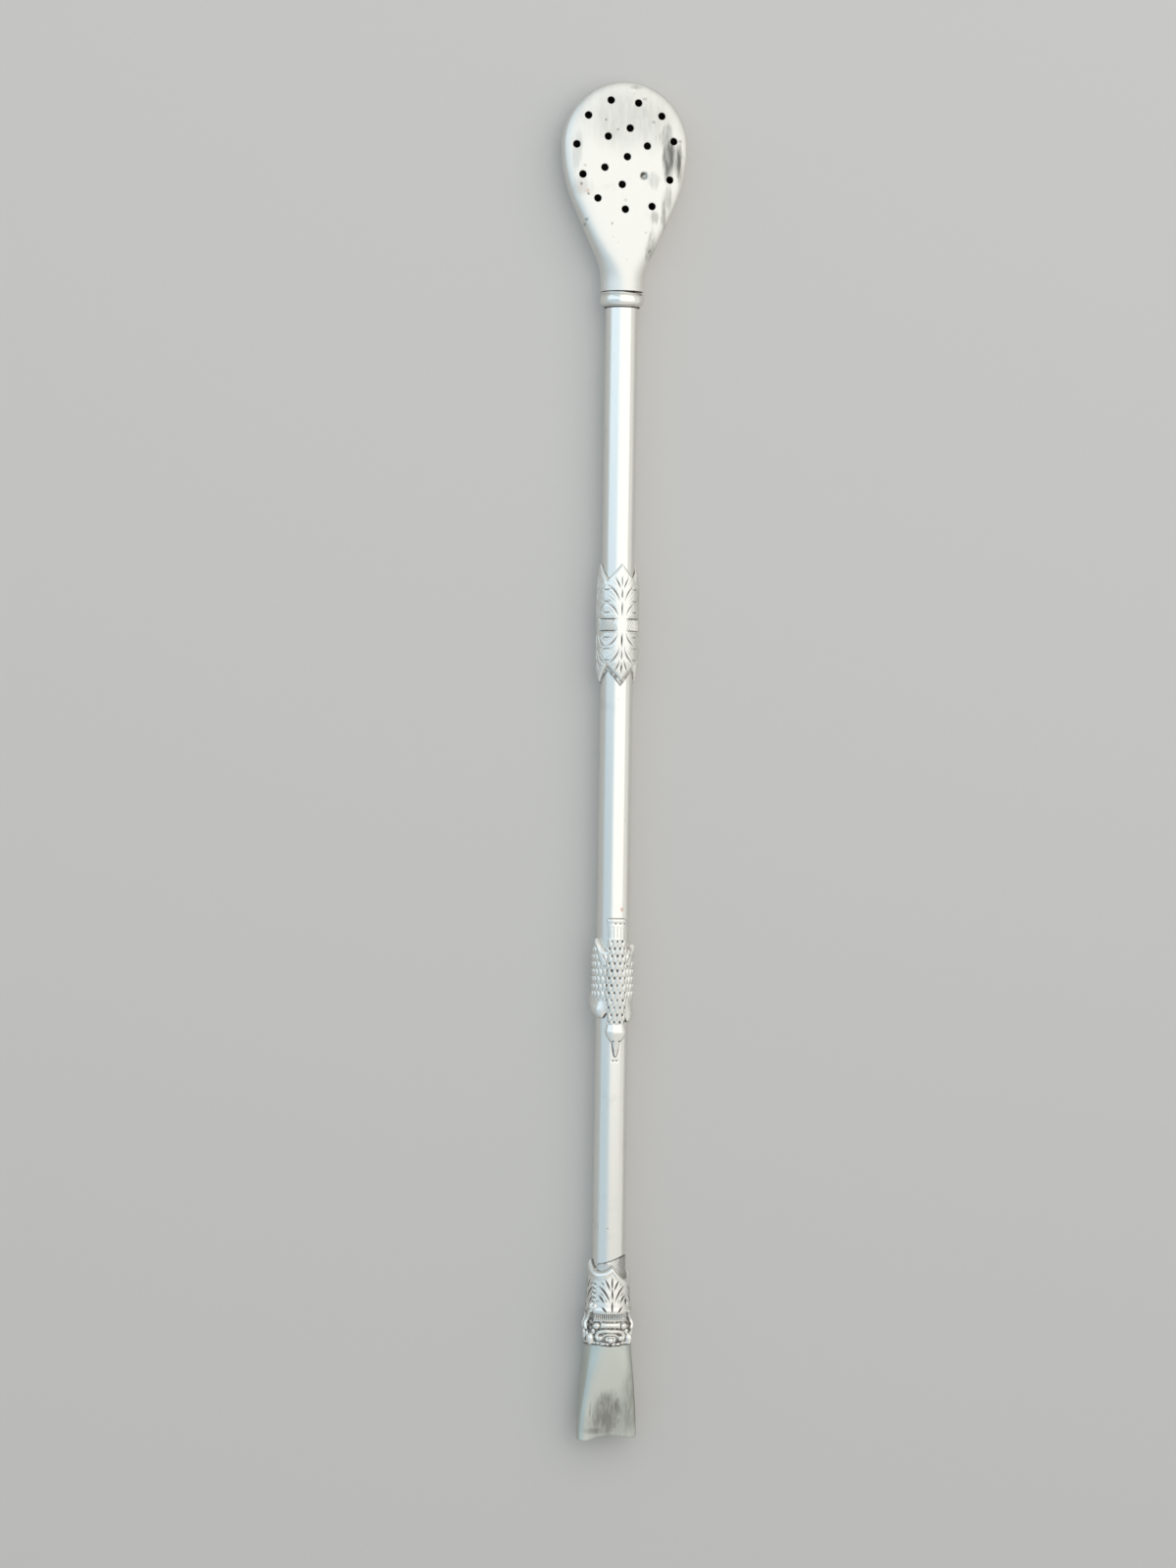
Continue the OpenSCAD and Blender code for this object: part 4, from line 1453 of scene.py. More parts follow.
    def scroll_band(self, a: Array, b: Array) -> tuple[Array, Array]:
        """Relief of the bar, the scrolls, the rosette, the garland and the buds.

        Args:
            a: Places across from a panel's middle, without sign.
            b: Places along from the collar's foot.

        Returns:
            Height on the collar's body, and how much of it is raised.
        """
        h = np.zeros(a.shape)
        for line, width in self.scrolls:
            for pa, pb in bent_path(line, self.scroll_points):
                d = np.hypot(a - pa, b - pb)
                h = np.maximum(h, 1.1 * width * dome(d / width, 2.0))
        flare = self.bar_w * (0.82 + 0.3 * (a / self.bar_half) ** 4)
        bar = dome((b - self.bar_b) / flare, 2.6) * smooth((self.bar_half + 0.1 - a) / 0.16)
        h = np.maximum(h, self.bar_t * bar)
        for ka, kb, wa, wb, tall in self.knobs:
            d = np.hypot((a - ka) / wa, (b - kb) / wb)
            h = np.maximum(h, tall * dome(d, 2.0))
        return h, smooth(h / 0.12)

    def rolled_tip(self, phi: Array, b: Array) -> tuple[Array, Array]:
        """The leaf tip that curls over at the left.

        Args:
            phi: Angles round the stem.
            b: Places along from the collar's foot.

        Returns:
            How far the curl stands up and how deep its eye is, from 0 to 1.
        """
        a = self.reach * (phi - math.radians(self.curl[0]))
        b = b - self.curl[1]
        curl = dome(np.hypot(a / self.curl_size[0], b / self.curl_size[1]), 2.0)
        return curl, ridge(np.hypot(a - self.eye[0], b - self.eye[1]), self.eye_w)

    def rib_stack(self, s: Array, b: Array, gap: Array) -> tuple[Array, Array]:
        """The ribs between two leaves.

        Args:
            s: Places across from a leaf's middle, with sign.
            b: Places along from the collar's foot.
            gap: Distances from the middle between two leaves.

        Returns:
            How much of each point is ribbed and how deep in a groove it is, from 0 to 1.
        """
        low, high = self.ribs
        width = np.where(s > 0.0, self.rib_sides[1], self.rib_sides[0])
        ribbed = smooth((width - gap) / 0.2) * smooth((b - low + 0.3) / 0.2) * smooth((high - b) / 0.3)
        bowed = b + self.rib_bow * np.sign(s) * (width - gap) - low
        return ribbed, np.abs(np.cos(math.pi * bowed / self.rib_h)) ** 5

    def leaf(self, s: Array, b: Array, inside: Array, pitch: float, phi: Array) -> tuple[Array, Array]:
        """Relief of the crown's leaves inside their rolled rim.

        Args:
            s: Places across from a leaf's middle, with sign.
            b: Places along from the collar's foot.
            inside: Distances inside the crown's edge.
            pitch: Half width of a leaf.
            phi: Angles round the stem.

        Returns:
            Height on the collar's body, and depth of cut from 0 to 1.
        """
        a = np.abs(s)
        gap = pitch - a
        rim = 1.0 - smooth((inside - self.rim_w) / self.rim_fade)
        ground = 1.0 - rim
        left = np.where(phi < 0.0, 1.0, 0.0)
        pit_away = np.hypot(gap / self.pit_size[0], (b - self.pit_b) / self.pit_size[1])
        pit = (1.0 - left) * ridge(pit_away, 1.0)
        curl, eye = self.rolled_tip(phi, b)
        clear = 1.0 - smooth(curl * 3.0)
        ribbed, groove = self.rib_stack(s, b, gap)
        ribbed = left * ribbed * ground
        veins, nearest = engrave(a, b, self.veins, self.hairs, self.vein_w, self.hair_depth)
        veins = veins * ground * clear * (1.0 - ribbed)
        h = self.rim_t * rim - self.trough_depth * ridge(nearest, self.trough_w) * ground
        h = h - self.vein_depth * veins - self.gap_depth * ridge(gap, self.gap_w) * ground
        h = h + ribbed * (self.rib_t - self.rib_depth * groove)
        h = np.maximum(h, self.curl_t * curl - self.eye_depth * eye) - self.pit_depth * pit
        border = 0.4 * ridge(inside - self.rim_w - 0.5, 0.1)
        return h, np.max([veins, pit, border, 0.75 * ribbed * groove * clear, 0.4 * eye], axis=0)

    def lower_part(self, phi: Array, b: Array, a: Array, wobble: Array) -> tuple[Array, Array, Array]:
        """The scroll band and the flutes above it.

        Args:
            phi: Angles round the stem.
            b: Places along from the collar's foot.
            a: Places across from a panel's middle, without sign.
            wobble: How far the hand-cut lines stray along.

        Returns:
            Radius, depth of cut from 0 to 1, and how much of each point is in the scroll band.
        """
        low, high = self.flute_span
        raised, tops = self.scroll_band(a, b + wobble)
        beside = smooth((a - self.beside[0]) / 0.15) * smooth((self.beside[1] - b) / 0.3)
        in_band = np.maximum(smooth((low - 0.05 - b) / 0.1), beside)
        dirty = 0.62 + 0.2 * waver(self.bench.wrap(phi, self.reach, b), 0.7)
        cut = in_band * (1.0 - tops) * dirty
        flute = np.abs(np.cos(self.flutes * phi / 2)) ** 3
        in_flutes = smooth((b - low) / 0.1) * smooth((high - b) / 0.1) * (1.0 - in_band)
        r = through(b, self.body) + in_band * raised - in_flutes * self.flute_depth * flute
        cut = np.maximum(cut, in_flutes * (0.26 + 0.5 * flute))
        return r, np.maximum(cut, 0.55 * ridge(b - low, 0.07) * (1.0 - tops)), in_band

    def solder(self, phi: Array, b: Array, top: Array) -> tuple[Array, Array]:
        """The solder that ran up the stem past the leaves.

        Args:
            phi: Angles round the stem.
            b: Places along from the collar's foot.
            top: Its upper edge.

        Returns:
            Radius, and how grey it is, from 0 to 1.
        """
        grains = waver(self.bench.wrap(phi, 3.0, b), 0.55) * waver(self.bench.wrap(phi, 2.0, b), 0.8)
        lumps = self.solder_t + self.solder_lumps * grains
        r = self.bench.stem_r + self.solder_bed + lumps * smooth((top - b) / 0.4)
        grey = 0.38 + 0.14 * smooth(np.degrees(phi) / 40.0) + 0.3 * ridge(top - b - 0.1, 0.12)
        return r, np.clip(grey + 0.18 * grains, 0.1, 0.8)

    def build(self) -> None:
        """Builds the collar, with its solder run up the stem."""
        low = self.bench.span("mouth_collar")[0]
        pitch = self.reach * math.pi / self.leaves
        phi = ring_angles(self.around)
        leaf_s = self.across(phi, self.leaf_twist, self.leaves)
        crown = self.crown_edge(phi, np.abs(leaf_s), pitch)
        top = np.maximum(crown, self.solder_edge(phi))
        foot = self.foot_edge(phi)
        b = mix(foot, top, np.linspace(0.0, 1.0, self.along)[None, :])
        place = self.bench.wrap(phi, self.reach, b)
        wobble = self.wobble * waver(place, self.wobble_size)
        band_a = np.abs(self.across(phi, self.band_twist, self.panels) + wobble)
        r, cut, in_band = self.lower_part(phi, b, band_a, wobble)
        cut = np.maximum(cut, 0.75 * ridge(b - foot, 0.14))
        inside = self.edge_slope * (crown - b)
        leaf_h, leaf_cut = self.leaf(leaf_s + wobble, b + wobble, inside, pitch, phi)
        leaf_low = self.flute_span[1]
        on_leaf = smooth((b - leaf_low - 0.05) / 0.12) * (1.0 - in_band)
        slope = np.where(b > leaf_low, quarter(np.clip(inside / self.rim_w, 0.0, 1.0)), 1.0)
        r = mix(self.bench.stem_r + self.edge_t, r + on_leaf * leaf_h, slope)
        cut = np.maximum(cut, on_leaf * leaf_cut)
        above = smooth(-inside / 0.06)
        solder_r, grey = self.solder(phi, b, top)
        r = mix(r, solder_r, above)
        cut = np.maximum(cut, above * grey)
        cut = np.maximum(cut, 0.6 * ridge(inside, 0.08) * smooth((b - 9.0) / 1.0))
        outer = np.stack([r + self.grain * waver(place, self.grain_size), low + b], axis=-1)
        lap_r = self.body[0][1] - self.lap_t
        radii = np.broadcast_to(np.array([self.bench.seat, self.bench.seat, lap_r]), (self.around, 3))
        ends = np.concatenate([top, np.full_like(top, self.lap_l), foot], axis=1)
        inner = np.stack([radii, low + ends], axis=-1)
        piece = turn_section("collar_casting", self.bench, outer, inner, cut)
        self.fit(piece, "mouth_collar", Body.STEM, Slot.RELIEF)


@dataclass
class Mouthpiece(SubAssembly):
    """Flared and flattened mouthpiece with a hollow end."""

    around: int = 200
    along: int = 90
    end_t: float = 2.9
    wall: float = 0.6
    power: float = 4.6
    top_power: float = 2.25
    top_w: float = 3.86
    top_t: float = 3.46
    corner: float = 0.45
    bore_gap: float = 0.12
    bore_flare: float = 0.25
    flare_l: float = 0.5
    lip_notch: float = 0.6
    lip_span: float = 0.36
    dish: float = 0.22
    dish_span: float = 0.8
    end_skew: float = 0.25
    end_l: float = 4.0
    sway: float = 0.03
    sway_size: float = 5.0
    joint_dirt: float = 0.6
    joint_w: float = 0.35

    @staticmethod
    def loop(s: Array, w: Array, d: Array, power: Array, angle: Array) -> Array:
        """Points round the mouthpiece at places along it.

        Args:
            s: Distances from the mouth end.
            w: Half widths.
            d: Half thicknesses.
            power: Squareness of the section, where 2 is an ellipse.
            angle: Angles round the section, from the front.

        Returns:
            Points across, along and out, before they are set on the axis.
        """
        x = w * np.sign(np.sin(angle)) * np.abs(np.sin(angle)) ** (2.0 / power)
        out = d * np.sign(np.cos(angle)) * np.abs(np.cos(angle)) ** (2.0 / power)
        return np.stack(np.broadcast_arrays(x, s, out), axis=-1)

    def dished(self, x: Array, t: Array, half_w: float) -> Array:
        """How far the flat faces are dished in."""
        return self.dish * (1.0 - t) * np.clip(1.0 - (x / (self.dish_span * half_w)) ** 2, 0.0, 1.0)

    def outside(self, length: float, half_w: float) -> Array:
        """Outer face, from the mouth end to the collar.

        Args:
            length: Length that shows below the collar.
            half_w: Half width of the mouth end.

        Returns:
            Points by column and by place along.
        """
        s = np.linspace(0.0, 1.0, self.along)[None, :] ** 1.5 * length
        t = smooth(s / length)
        power = mix(self.power, self.top_power, smooth((s / length - 0.5) / 0.5))
        short = np.clip(self.corner - s, 0, None)
        round_off = self.corner - np.sqrt(np.clip(self.corner**2 - short**2, 0, None))
        w = mix(half_w, self.top_w, t) - round_off
        d = mix(self.end_t / 2, self.top_t, t) - 0.5 * round_off
        face = self.loop(s, w, d, power, ring_angles(self.around))
        face[..., 2] -= np.sign(face[..., 2]) * self.dished(face[..., 0], t, half_w)
        return face

    def bore(self, length: float, half_w: float) -> Array:
        """Inner face, from the collar down to the mouth end.

        Args:
            length: Length that shows below the collar.
            half_w: Half width of the mouth end.

        Returns:
            Points by column and by place along.
        """
        s = np.linspace(1.0, 0.0, self.along // 2)[None, :] ** 1.3 * length
        t = smooth(s / length)
        socket = self.bench.stem_r + self.bore_gap
        flare = self.bore_flare * smooth((self.flare_l - s) / self.flare_l)
        w = mix(half_w - self.wall, socket, t) + flare
        d = mix(self.end_t / 2 - self.wall, socket, t) + flare
        face = self.loop(s, w, d, mix(self.power, 2.0, t), ring_angles(self.around))
        dish = np.minimum(self.dished(face[..., 0], t, half_w), 0.5 * np.abs(face[..., 2]))
        face[..., 2] -= np.sign(face[..., 2]) * dish
        return face

    def build(self) -> None:
        """Builds the mouthpiece, its end hollowed for the lips and a little askew."""
        low = self.bench.span("mouthpiece")[0]
        collar = self.bench.span("mouth_collar")[0]
        half_w = self.bench.half_width("mouthpiece")
        points = np.concatenate([self.outside(collar - low, half_w), self.bore(collar - low, half_w)], axis=1)
        x = points[..., 0]
        hollow = self.lip_notch * np.clip(1.0 - (x / (2 * self.lip_span * half_w)) ** 2, 0.0, 1.0)
        askew = self.end_skew * x / half_w
        points[..., 1] += (hollow + askew) * (1.0 - smooth(points[..., 1] / self.end_l))
        points[..., 2] += self.sway * waver(points, self.sway_size)
        points[..., 1] += low
        points[..., 2] += self.bench.axis_z
        cut = self.joint_dirt * ridge(points[..., 1] - collar, self.joint_w)
        piece = close_ring("mouthpiece_shell", points, cut)
        self.fit(piece, "mouthpiece", Body.STEM, Slot.MOUTH)


class Nodes:
    """A material's or a group's node tree, filled from left to right."""

    def __init__(self, tree: Tree) -> None:
        """Starts on an empty tree."""
        self.tree = tree

    def add(self, kind: str, **settings: object) -> bpy.types.Node:
        """Adds a node.

        Args:
            kind: Type of the node.
            **settings: Settings of the node by name.

        Returns:
            The node.
        """
        node = self.tree.nodes.new(kind)
        for name, value in settings.items():
            setattr(node, name, value)
        return node

    def link(self, source: Socket, target: Socket) -> None:
        """Joins an output to an input."""
        self.tree.links.new(source, target)

    def feed(self, target: Socket, value: object) -> None:
        """Links a socket, or sets a plain value.

        Args:
            target: Input that is fed.
            value: Output socket or plain value.
        """
        if isinstance(value, Socket):
            self.link(value, target)
        else:
            target.default_value = value

    def math(self, operation: str, a: object, b: object = 0.0, clamp: bool = False) -> Socket:
        """One sum of two numbers.

        Args:
            operation: Name of the sum.
            a: First number or socket.
            b: Second number or socket.
            clamp: Whether the result is kept from 0 to 1.

        Returns:
            The result's socket.
        """
        node = self.add("ShaderNodeMath", operation=operation, use_clamp=clamp)
        self.feed(node.inputs[0], a)
        self.feed(node.inputs[1], b)
        return node.outputs[0]

    def vector(self, operation: str, a: object, b: object = (0.0, 0.0, 0.0)) -> bpy.types.Node:
        """Adds a sum of two vectors.

        Args:
            operation: Name of the sum.
            a: First vector or socket.
            b: Second vector or socket.

        Returns:
            The node.
        """
        node = self.add("ShaderNodeVectorMath", operation=operation)
        self.feed(node.inputs[0], a)
        self.feed(node.inputs[1], b)
        return node

    def blend(self, share: object, a: object, b: object) -> Socket:
        """Mixes two colours.

        Args:
            share: How far the mix is from a to b.
            a: First colour or socket.
            b: Second colour or socket.

        Returns:
            The colour's socket.
        """
        node = self.add("ShaderNodeMix", data_type="RGBA")
        self.feed(node.inputs["Factor"], share)
        self.feed(node.inputs[6], a)
        self.feed(node.inputs[7], b)
        return node.outputs[2]

    def ramp(
        self, value: object, low: object, high: object, to_low: float = 0.0, to_high: float = 1.0
    ) -> Socket:
        """Spreads a number smoothly from one range to another.

        Args:
            value: The number or socket.
            low: Start of its range.
            high: End of its range.
            to_low: Result at the start.
            to_high: Result at the end.

        Returns:
            The result's socket.
        """
        node = self.add("ShaderNodeMapRange", interpolation_type="SMOOTHSTEP")
        for socket, number in zip(node.inputs[0:5], (value, low, high, to_low, to_high)):
            self.feed(socket, number)
        return node.outputs[0]

    def noise(self, place: object, scale: object, detail: float = 4.0, rough: float = 0.55) -> Socket:
        """Makes cloudy noise.

        Args:
            place: Coordinates.
            scale: Fineness of the clouds.
            detail: How many finer layers there are.
            rough: Strength of the finer layers.

        Returns:
            The noise's socket, from 0 to 1.
        """
        node = self.add("ShaderNodeTexNoise")
        self.feed(node.inputs["Vector"], place)
        for name, number in (("Scale", scale), ("Detail", detail), ("Roughness", rough)):
            self.feed(node.inputs[name], number)
        return node.outputs["Fac"]

    def stretch(self, place: object, scale: Triple, shift: Triple = (0.0, 0.0, 0.0)) -> Socket:
        """Stretches and moves coordinates.

        Args:
            place: Coordinates.
            scale: Stretch along each axis.
            shift: Move along each axis.

        Returns:
            The new coordinates' socket.
        """
        node = self.add("ShaderNodeMapping")
        self.feed(node.inputs["Vector"], place)
        node.inputs["Scale"].default_value = scale
        node.inputs["Location"].default_value = shift
        return node.outputs[0]


def new_group(
    name: str, inputs: dict[str, object], outputs: tuple[str, ...]
) -> tuple[Nodes, Sockets, Sockets]:
    """Starts a shader node group.

    Args:
        name: Name of the group.
        inputs: Input names with their plain values: a number, or three for a vector.
        outputs: Names of the numbers that it puts out.

    Returns:
        The group's nodes, its input sockets by name and its output sockets by name.
    """
    tree = bpy.data.node_groups.new(name, "ShaderNodeTree")
    for label, value in inputs.items():
        kind = "NodeSocketVector" if isinstance(value, tuple) else "NodeSocketFloat"
        socket = tree.interface.new_socket(label, in_out="INPUT", socket_type=kind)
        socket.default_value = value
    for label in outputs:
        tree.interface.new_socket(label, in_out="OUTPUT", socket_type="NodeSocketFloat")
    nodes = Nodes(tree)
    entry = nodes.add("NodeGroupInput")
    leave = nodes.add("NodeGroupOutput")
    return nodes, {k: entry.outputs[k] for k in inputs}, {k: leave.inputs[k] for k in outputs}


def make_wear() -> Tree:
    """Makes the group of clouds of tarnished metal, pits, fine scratches and the grain of drawn metal.

    Returns:
        The group.
    """
    n, given, put = new_group(
        "worn_silver",
        {"Vector": (0.0, 0.0, 0.0), "Cloud Scale": 160.0, "Cloud Reach": 0.5},
        ("Cloud", "Pits", "Scratch", "Grain"),
    )
    place = given["Vector"]
    cloud = n.noise(place, given["Cloud Scale"], 6.0, 0.62)
    edge = n.math("ADD", given["Cloud Reach"], 0.22)
    n.link(n.ramp(cloud, given["Cloud Reach"], edge), put["Cloud"])
    cells = n.add("ShaderNodeTexVoronoi", feature="F1")
    n.feed(cells.inputs["Vector"], place)
    n.feed(cells.inputs["Scale"], 900.0)
    dot = n.ramp(cells.outputs["Distance"], 0.05, 0.11, 1.0, 0.0)
    few = n.ramp(n.noise(place, 240.0, 2.0), 0.58, 0.68)
    n.link(n.math("MULTIPLY", dot, few), put["Pits"])
    fine = n.noise(n.stretch(place, (9000.0, 260.0, 9000.0)), 1.0, 3.0)
    cross = n.noise(n.stretch(place, (700.0, 5200.0, 700.0), (3.0, 1.0, 2.0)), 1.0, 3.0)
    faint = n.math("MULTIPLY", n.ramp(cross, 0.69, 0.76), 0.6)
    n.link(n.math("MAXIMUM", n.ramp(fine, 0.66, 0.74), faint), put["Scratch"])
    n.link(n.noise(place, 2400.0, 3.0, 0.6), put["Grain"])
    return n.tree


def make_stain_and_shade() -> Tree:
    """Makes the group of one ragged patch at a place on the object, used for stained patches and for painted
    shade.

    Returns:
        The group.
    """
    n, given, put = new_group(
        "stain_and_shade",
        {
            "Vector": (0.0, 0.0, 0.0), "Centre": (0.0, 0.0, 0.0), "Stretch": (1.0, 1.0, 1.0), "Ragged": 0.5,
            "Grain Scale": 500.0,
        },
        ("Mask",),
    )
    place = given["Vector"]
    away = n.vector("SUBTRACT", place, given["Centre"]).outputs[0]
    scaled = n.vector("DIVIDE", away, given["Stretch"]).outputs[0]
    length = n.vector("LENGTH", scaled).outputs["Value"]
    drawn = n.stretch(place, (1.0, 0.16, 1.0))
    rag = n.math("SUBTRACT", n.noise(drawn, given["Grain Scale"], 6.0, 0.7), 0.5)
    rag = n.math("MULTIPLY", n.math("MULTIPLY", rag, given["Ragged"]), 4.0)
    whole = n.ramp(n.math("ADD", length, rag), 0.3, 1.15, 1.0, 0.0)
    fleck = n.noise(n.stretch(place, (1.0, 0.2, 1.0), (0.7, 0.2, 0.4)), 1500.0, 4.0)
    n.link(n.math("MULTIPLY", whole, n.ramp(fleck, 0.3, 0.6, 0.6)), put["Mask"])
    return n.tree


@dataclass(frozen=True)
class StainAndShade:
    """One patch on the object, used for stained patches and for painted shade: its place and reach in
    millimetres, and its strength.
    """

    centre: Triple
    reach: Triple
    strength: float
    ragged: float = 0.5
    grain: float = 500.0

    def mask(self, n: Nodes, group: Tree, place: Socket) -> Socket:
        """Places the patch in a material.

        Args:
            n: The material's nodes.
            group: The shared group of stained and shaded patches.
            place: Coordinates.

        Returns:
            The socket of its mask.
        """
        node = n.add("ShaderNodeGroup", node_tree=group)
        n.link(place, node.inputs["Vector"])
        node.inputs["Centre"].default_value = [c * MM for c in self.centre]
        node.inputs["Stretch"].default_value = [c * MM for c in self.reach]
        node.inputs["Ragged"].default_value = self.ragged
        node.inputs["Grain Scale"].default_value = self.grain
        return n.math("MULTIPLY", node.outputs["Mask"], self.strength)


@dataclass(frozen=True)
class SilverFinish:
    """Aged nickel silver."""

    slot: Slot
    clean: Colour = (0.80, 0.79, 0.75, 1.0)
    tarnish_and_shade_colour: Colour = (0.24, 0.235, 0.22, 1.0)
    # Colour of grime, pits and specks, and of the painted shade and shadow that the points carry
    dirt_and_shade: Colour = (0.07, 0.056, 0.044, 1.0)
    copper: Colour = (0.48, 0.22, 0.12, 1.0)
    rough: float = 0.30
    cloud_scale: float = 190.0
    cloud_reach: float = 0.56
    cloud_strength: float = 0.3
    pit_strength: float = 0.5
    scratch_bump: float = 0.10
    scratch_depth: float = 0.03
    grain_bump: float = 0.25
    pit_bump: float = 2.0
    dirt_and_shade_strength: float = 0.95
    grain_rough: float = 0.12
    dull_rough: float = 0.22
    dirt_rough: float = 0.35
    dirt_cover: float = 0.6
    stains_and_painted_shade: tuple[StainAndShade, ...] = ()
    copper_spots: tuple[StainAndShade, ...] = ()
    specks: tuple[StainAndShade, ...] = ()

    def material(self, wear: Tree, stain_and_shade: Tree) -> bpy.types.Material:
        """Makes the finish.

        Args:
            wear: The shared wear group.
            stain_and_shade: The shared stain group.

        Returns:
            The material.
        """
        made = bpy.data.materials.new(self.slot.value)
        made.use_nodes = True
        made.node_tree.nodes.clear()
        n = Nodes(made.node_tree)
        place = n.add("ShaderNodeTexCoord").outputs["Object"]
        worn = n.add("ShaderNodeGroup", node_tree=wear)
        n.link(place, worn.inputs["Vector"])
        worn.inputs["Cloud Scale"].default_value = self.cloud_scale
        worn.inputs["Cloud Reach"].default_value = self.cloud_reach
        grain = worn.outputs["Grain"]
        tarnish_and_shade_mask = n.math("MULTIPLY", worn.outputs["Cloud"], self.cloud_strength)
        # Tarnished clouds and stained patches, with the patches of painted shade
        for spot in self.stains_and_painted_shade:
            tarnish_and_shade_mask = n.math("MAXIMUM", tarnish_and_shade_mask, spot.mask(n, stain_and_shade, place))
        # Grime in cuts together with painted shade and shadow, read from the points
        cut = n.add("ShaderNodeAttribute", attribute_name=DIRT_AND_SHADE_MARK).outputs["Fac"]
        mottled = n.math("ADD", n.math("MULTIPLY", grain, 0.5), 0.72)
        dirt_and_shade = n.ramp(n.math("MULTIPLY", cut, mottled), 0.22, 0.8)
        dirt_and_shade = n.math("MULTIPLY", dirt_and_shade, self.dirt_and_shade_strength, True)
        colour = n.blend(tarnish_and_shade_mask, self.clean, self.tarnish_and_shade_colour)
        colour = n.blend(dirt_and_shade, colour, self.dirt_and_shade)
        pits = n.math("MULTIPLY", worn.outputs["Pits"], self.pit_strength)
        colour = n.blend(pits, colour, self.dirt_and_shade)
        for spot in self.copper_spots:
            colour = n.blend(spot.mask(n, stain_and_shade, place), colour, self.copper)
        for spot in self.specks:
            colour = n.blend(spot.mask(n, stain_and_shade, place), colour, self.dirt_and_shade)
        shader = n.add("ShaderNodeBsdfPrincipled")
        n.link(colour, shader.inputs["Base Color"])
        smoothest = self.rough - self.grain_rough / 2
        rough = n.math("ADD", n.math("MULTIPLY", grain, self.grain_rough), smoothest)
        rough = n.math("ADD", rough, n.math("MULTIPLY", tarnish_and_shade_mask, self.dull_rough))
        rough = n.math("ADD", rough, n.math("MULTIPLY", dirt_and_shade, self.dirt_rough), True)
        n.link(rough, shader.inputs["Roughness"])
        covered = n.math("MULTIPLY", dirt_and_shade, self.dirt_cover)
        n.link(n.math("SUBTRACT", 1.0, covered), shader.inputs["Metallic"])
        height = n.math("MULTIPLY", grain, self.grain_bump)
        height = n.math("SUBTRACT", height, worn.outputs["Scratch"])
        height = n.math("SUBTRACT", height, n.math("MULTIPLY", worn.outputs["Pits"], self.pit_bump))
        bump = n.add("ShaderNodeBump")
        bump.inputs["Strength"].default_value = self.scratch_bump
        bump.inputs["Distance"].default_value = self.scratch_depth * MM
        n.link(height, bump.inputs["Height"])
        n.link(bump.outputs[0], shader.inputs["Normal"])
        out = n.add("ShaderNodeOutputMaterial")
        n.link(shader.outputs[0], out.inputs[0])
        return made


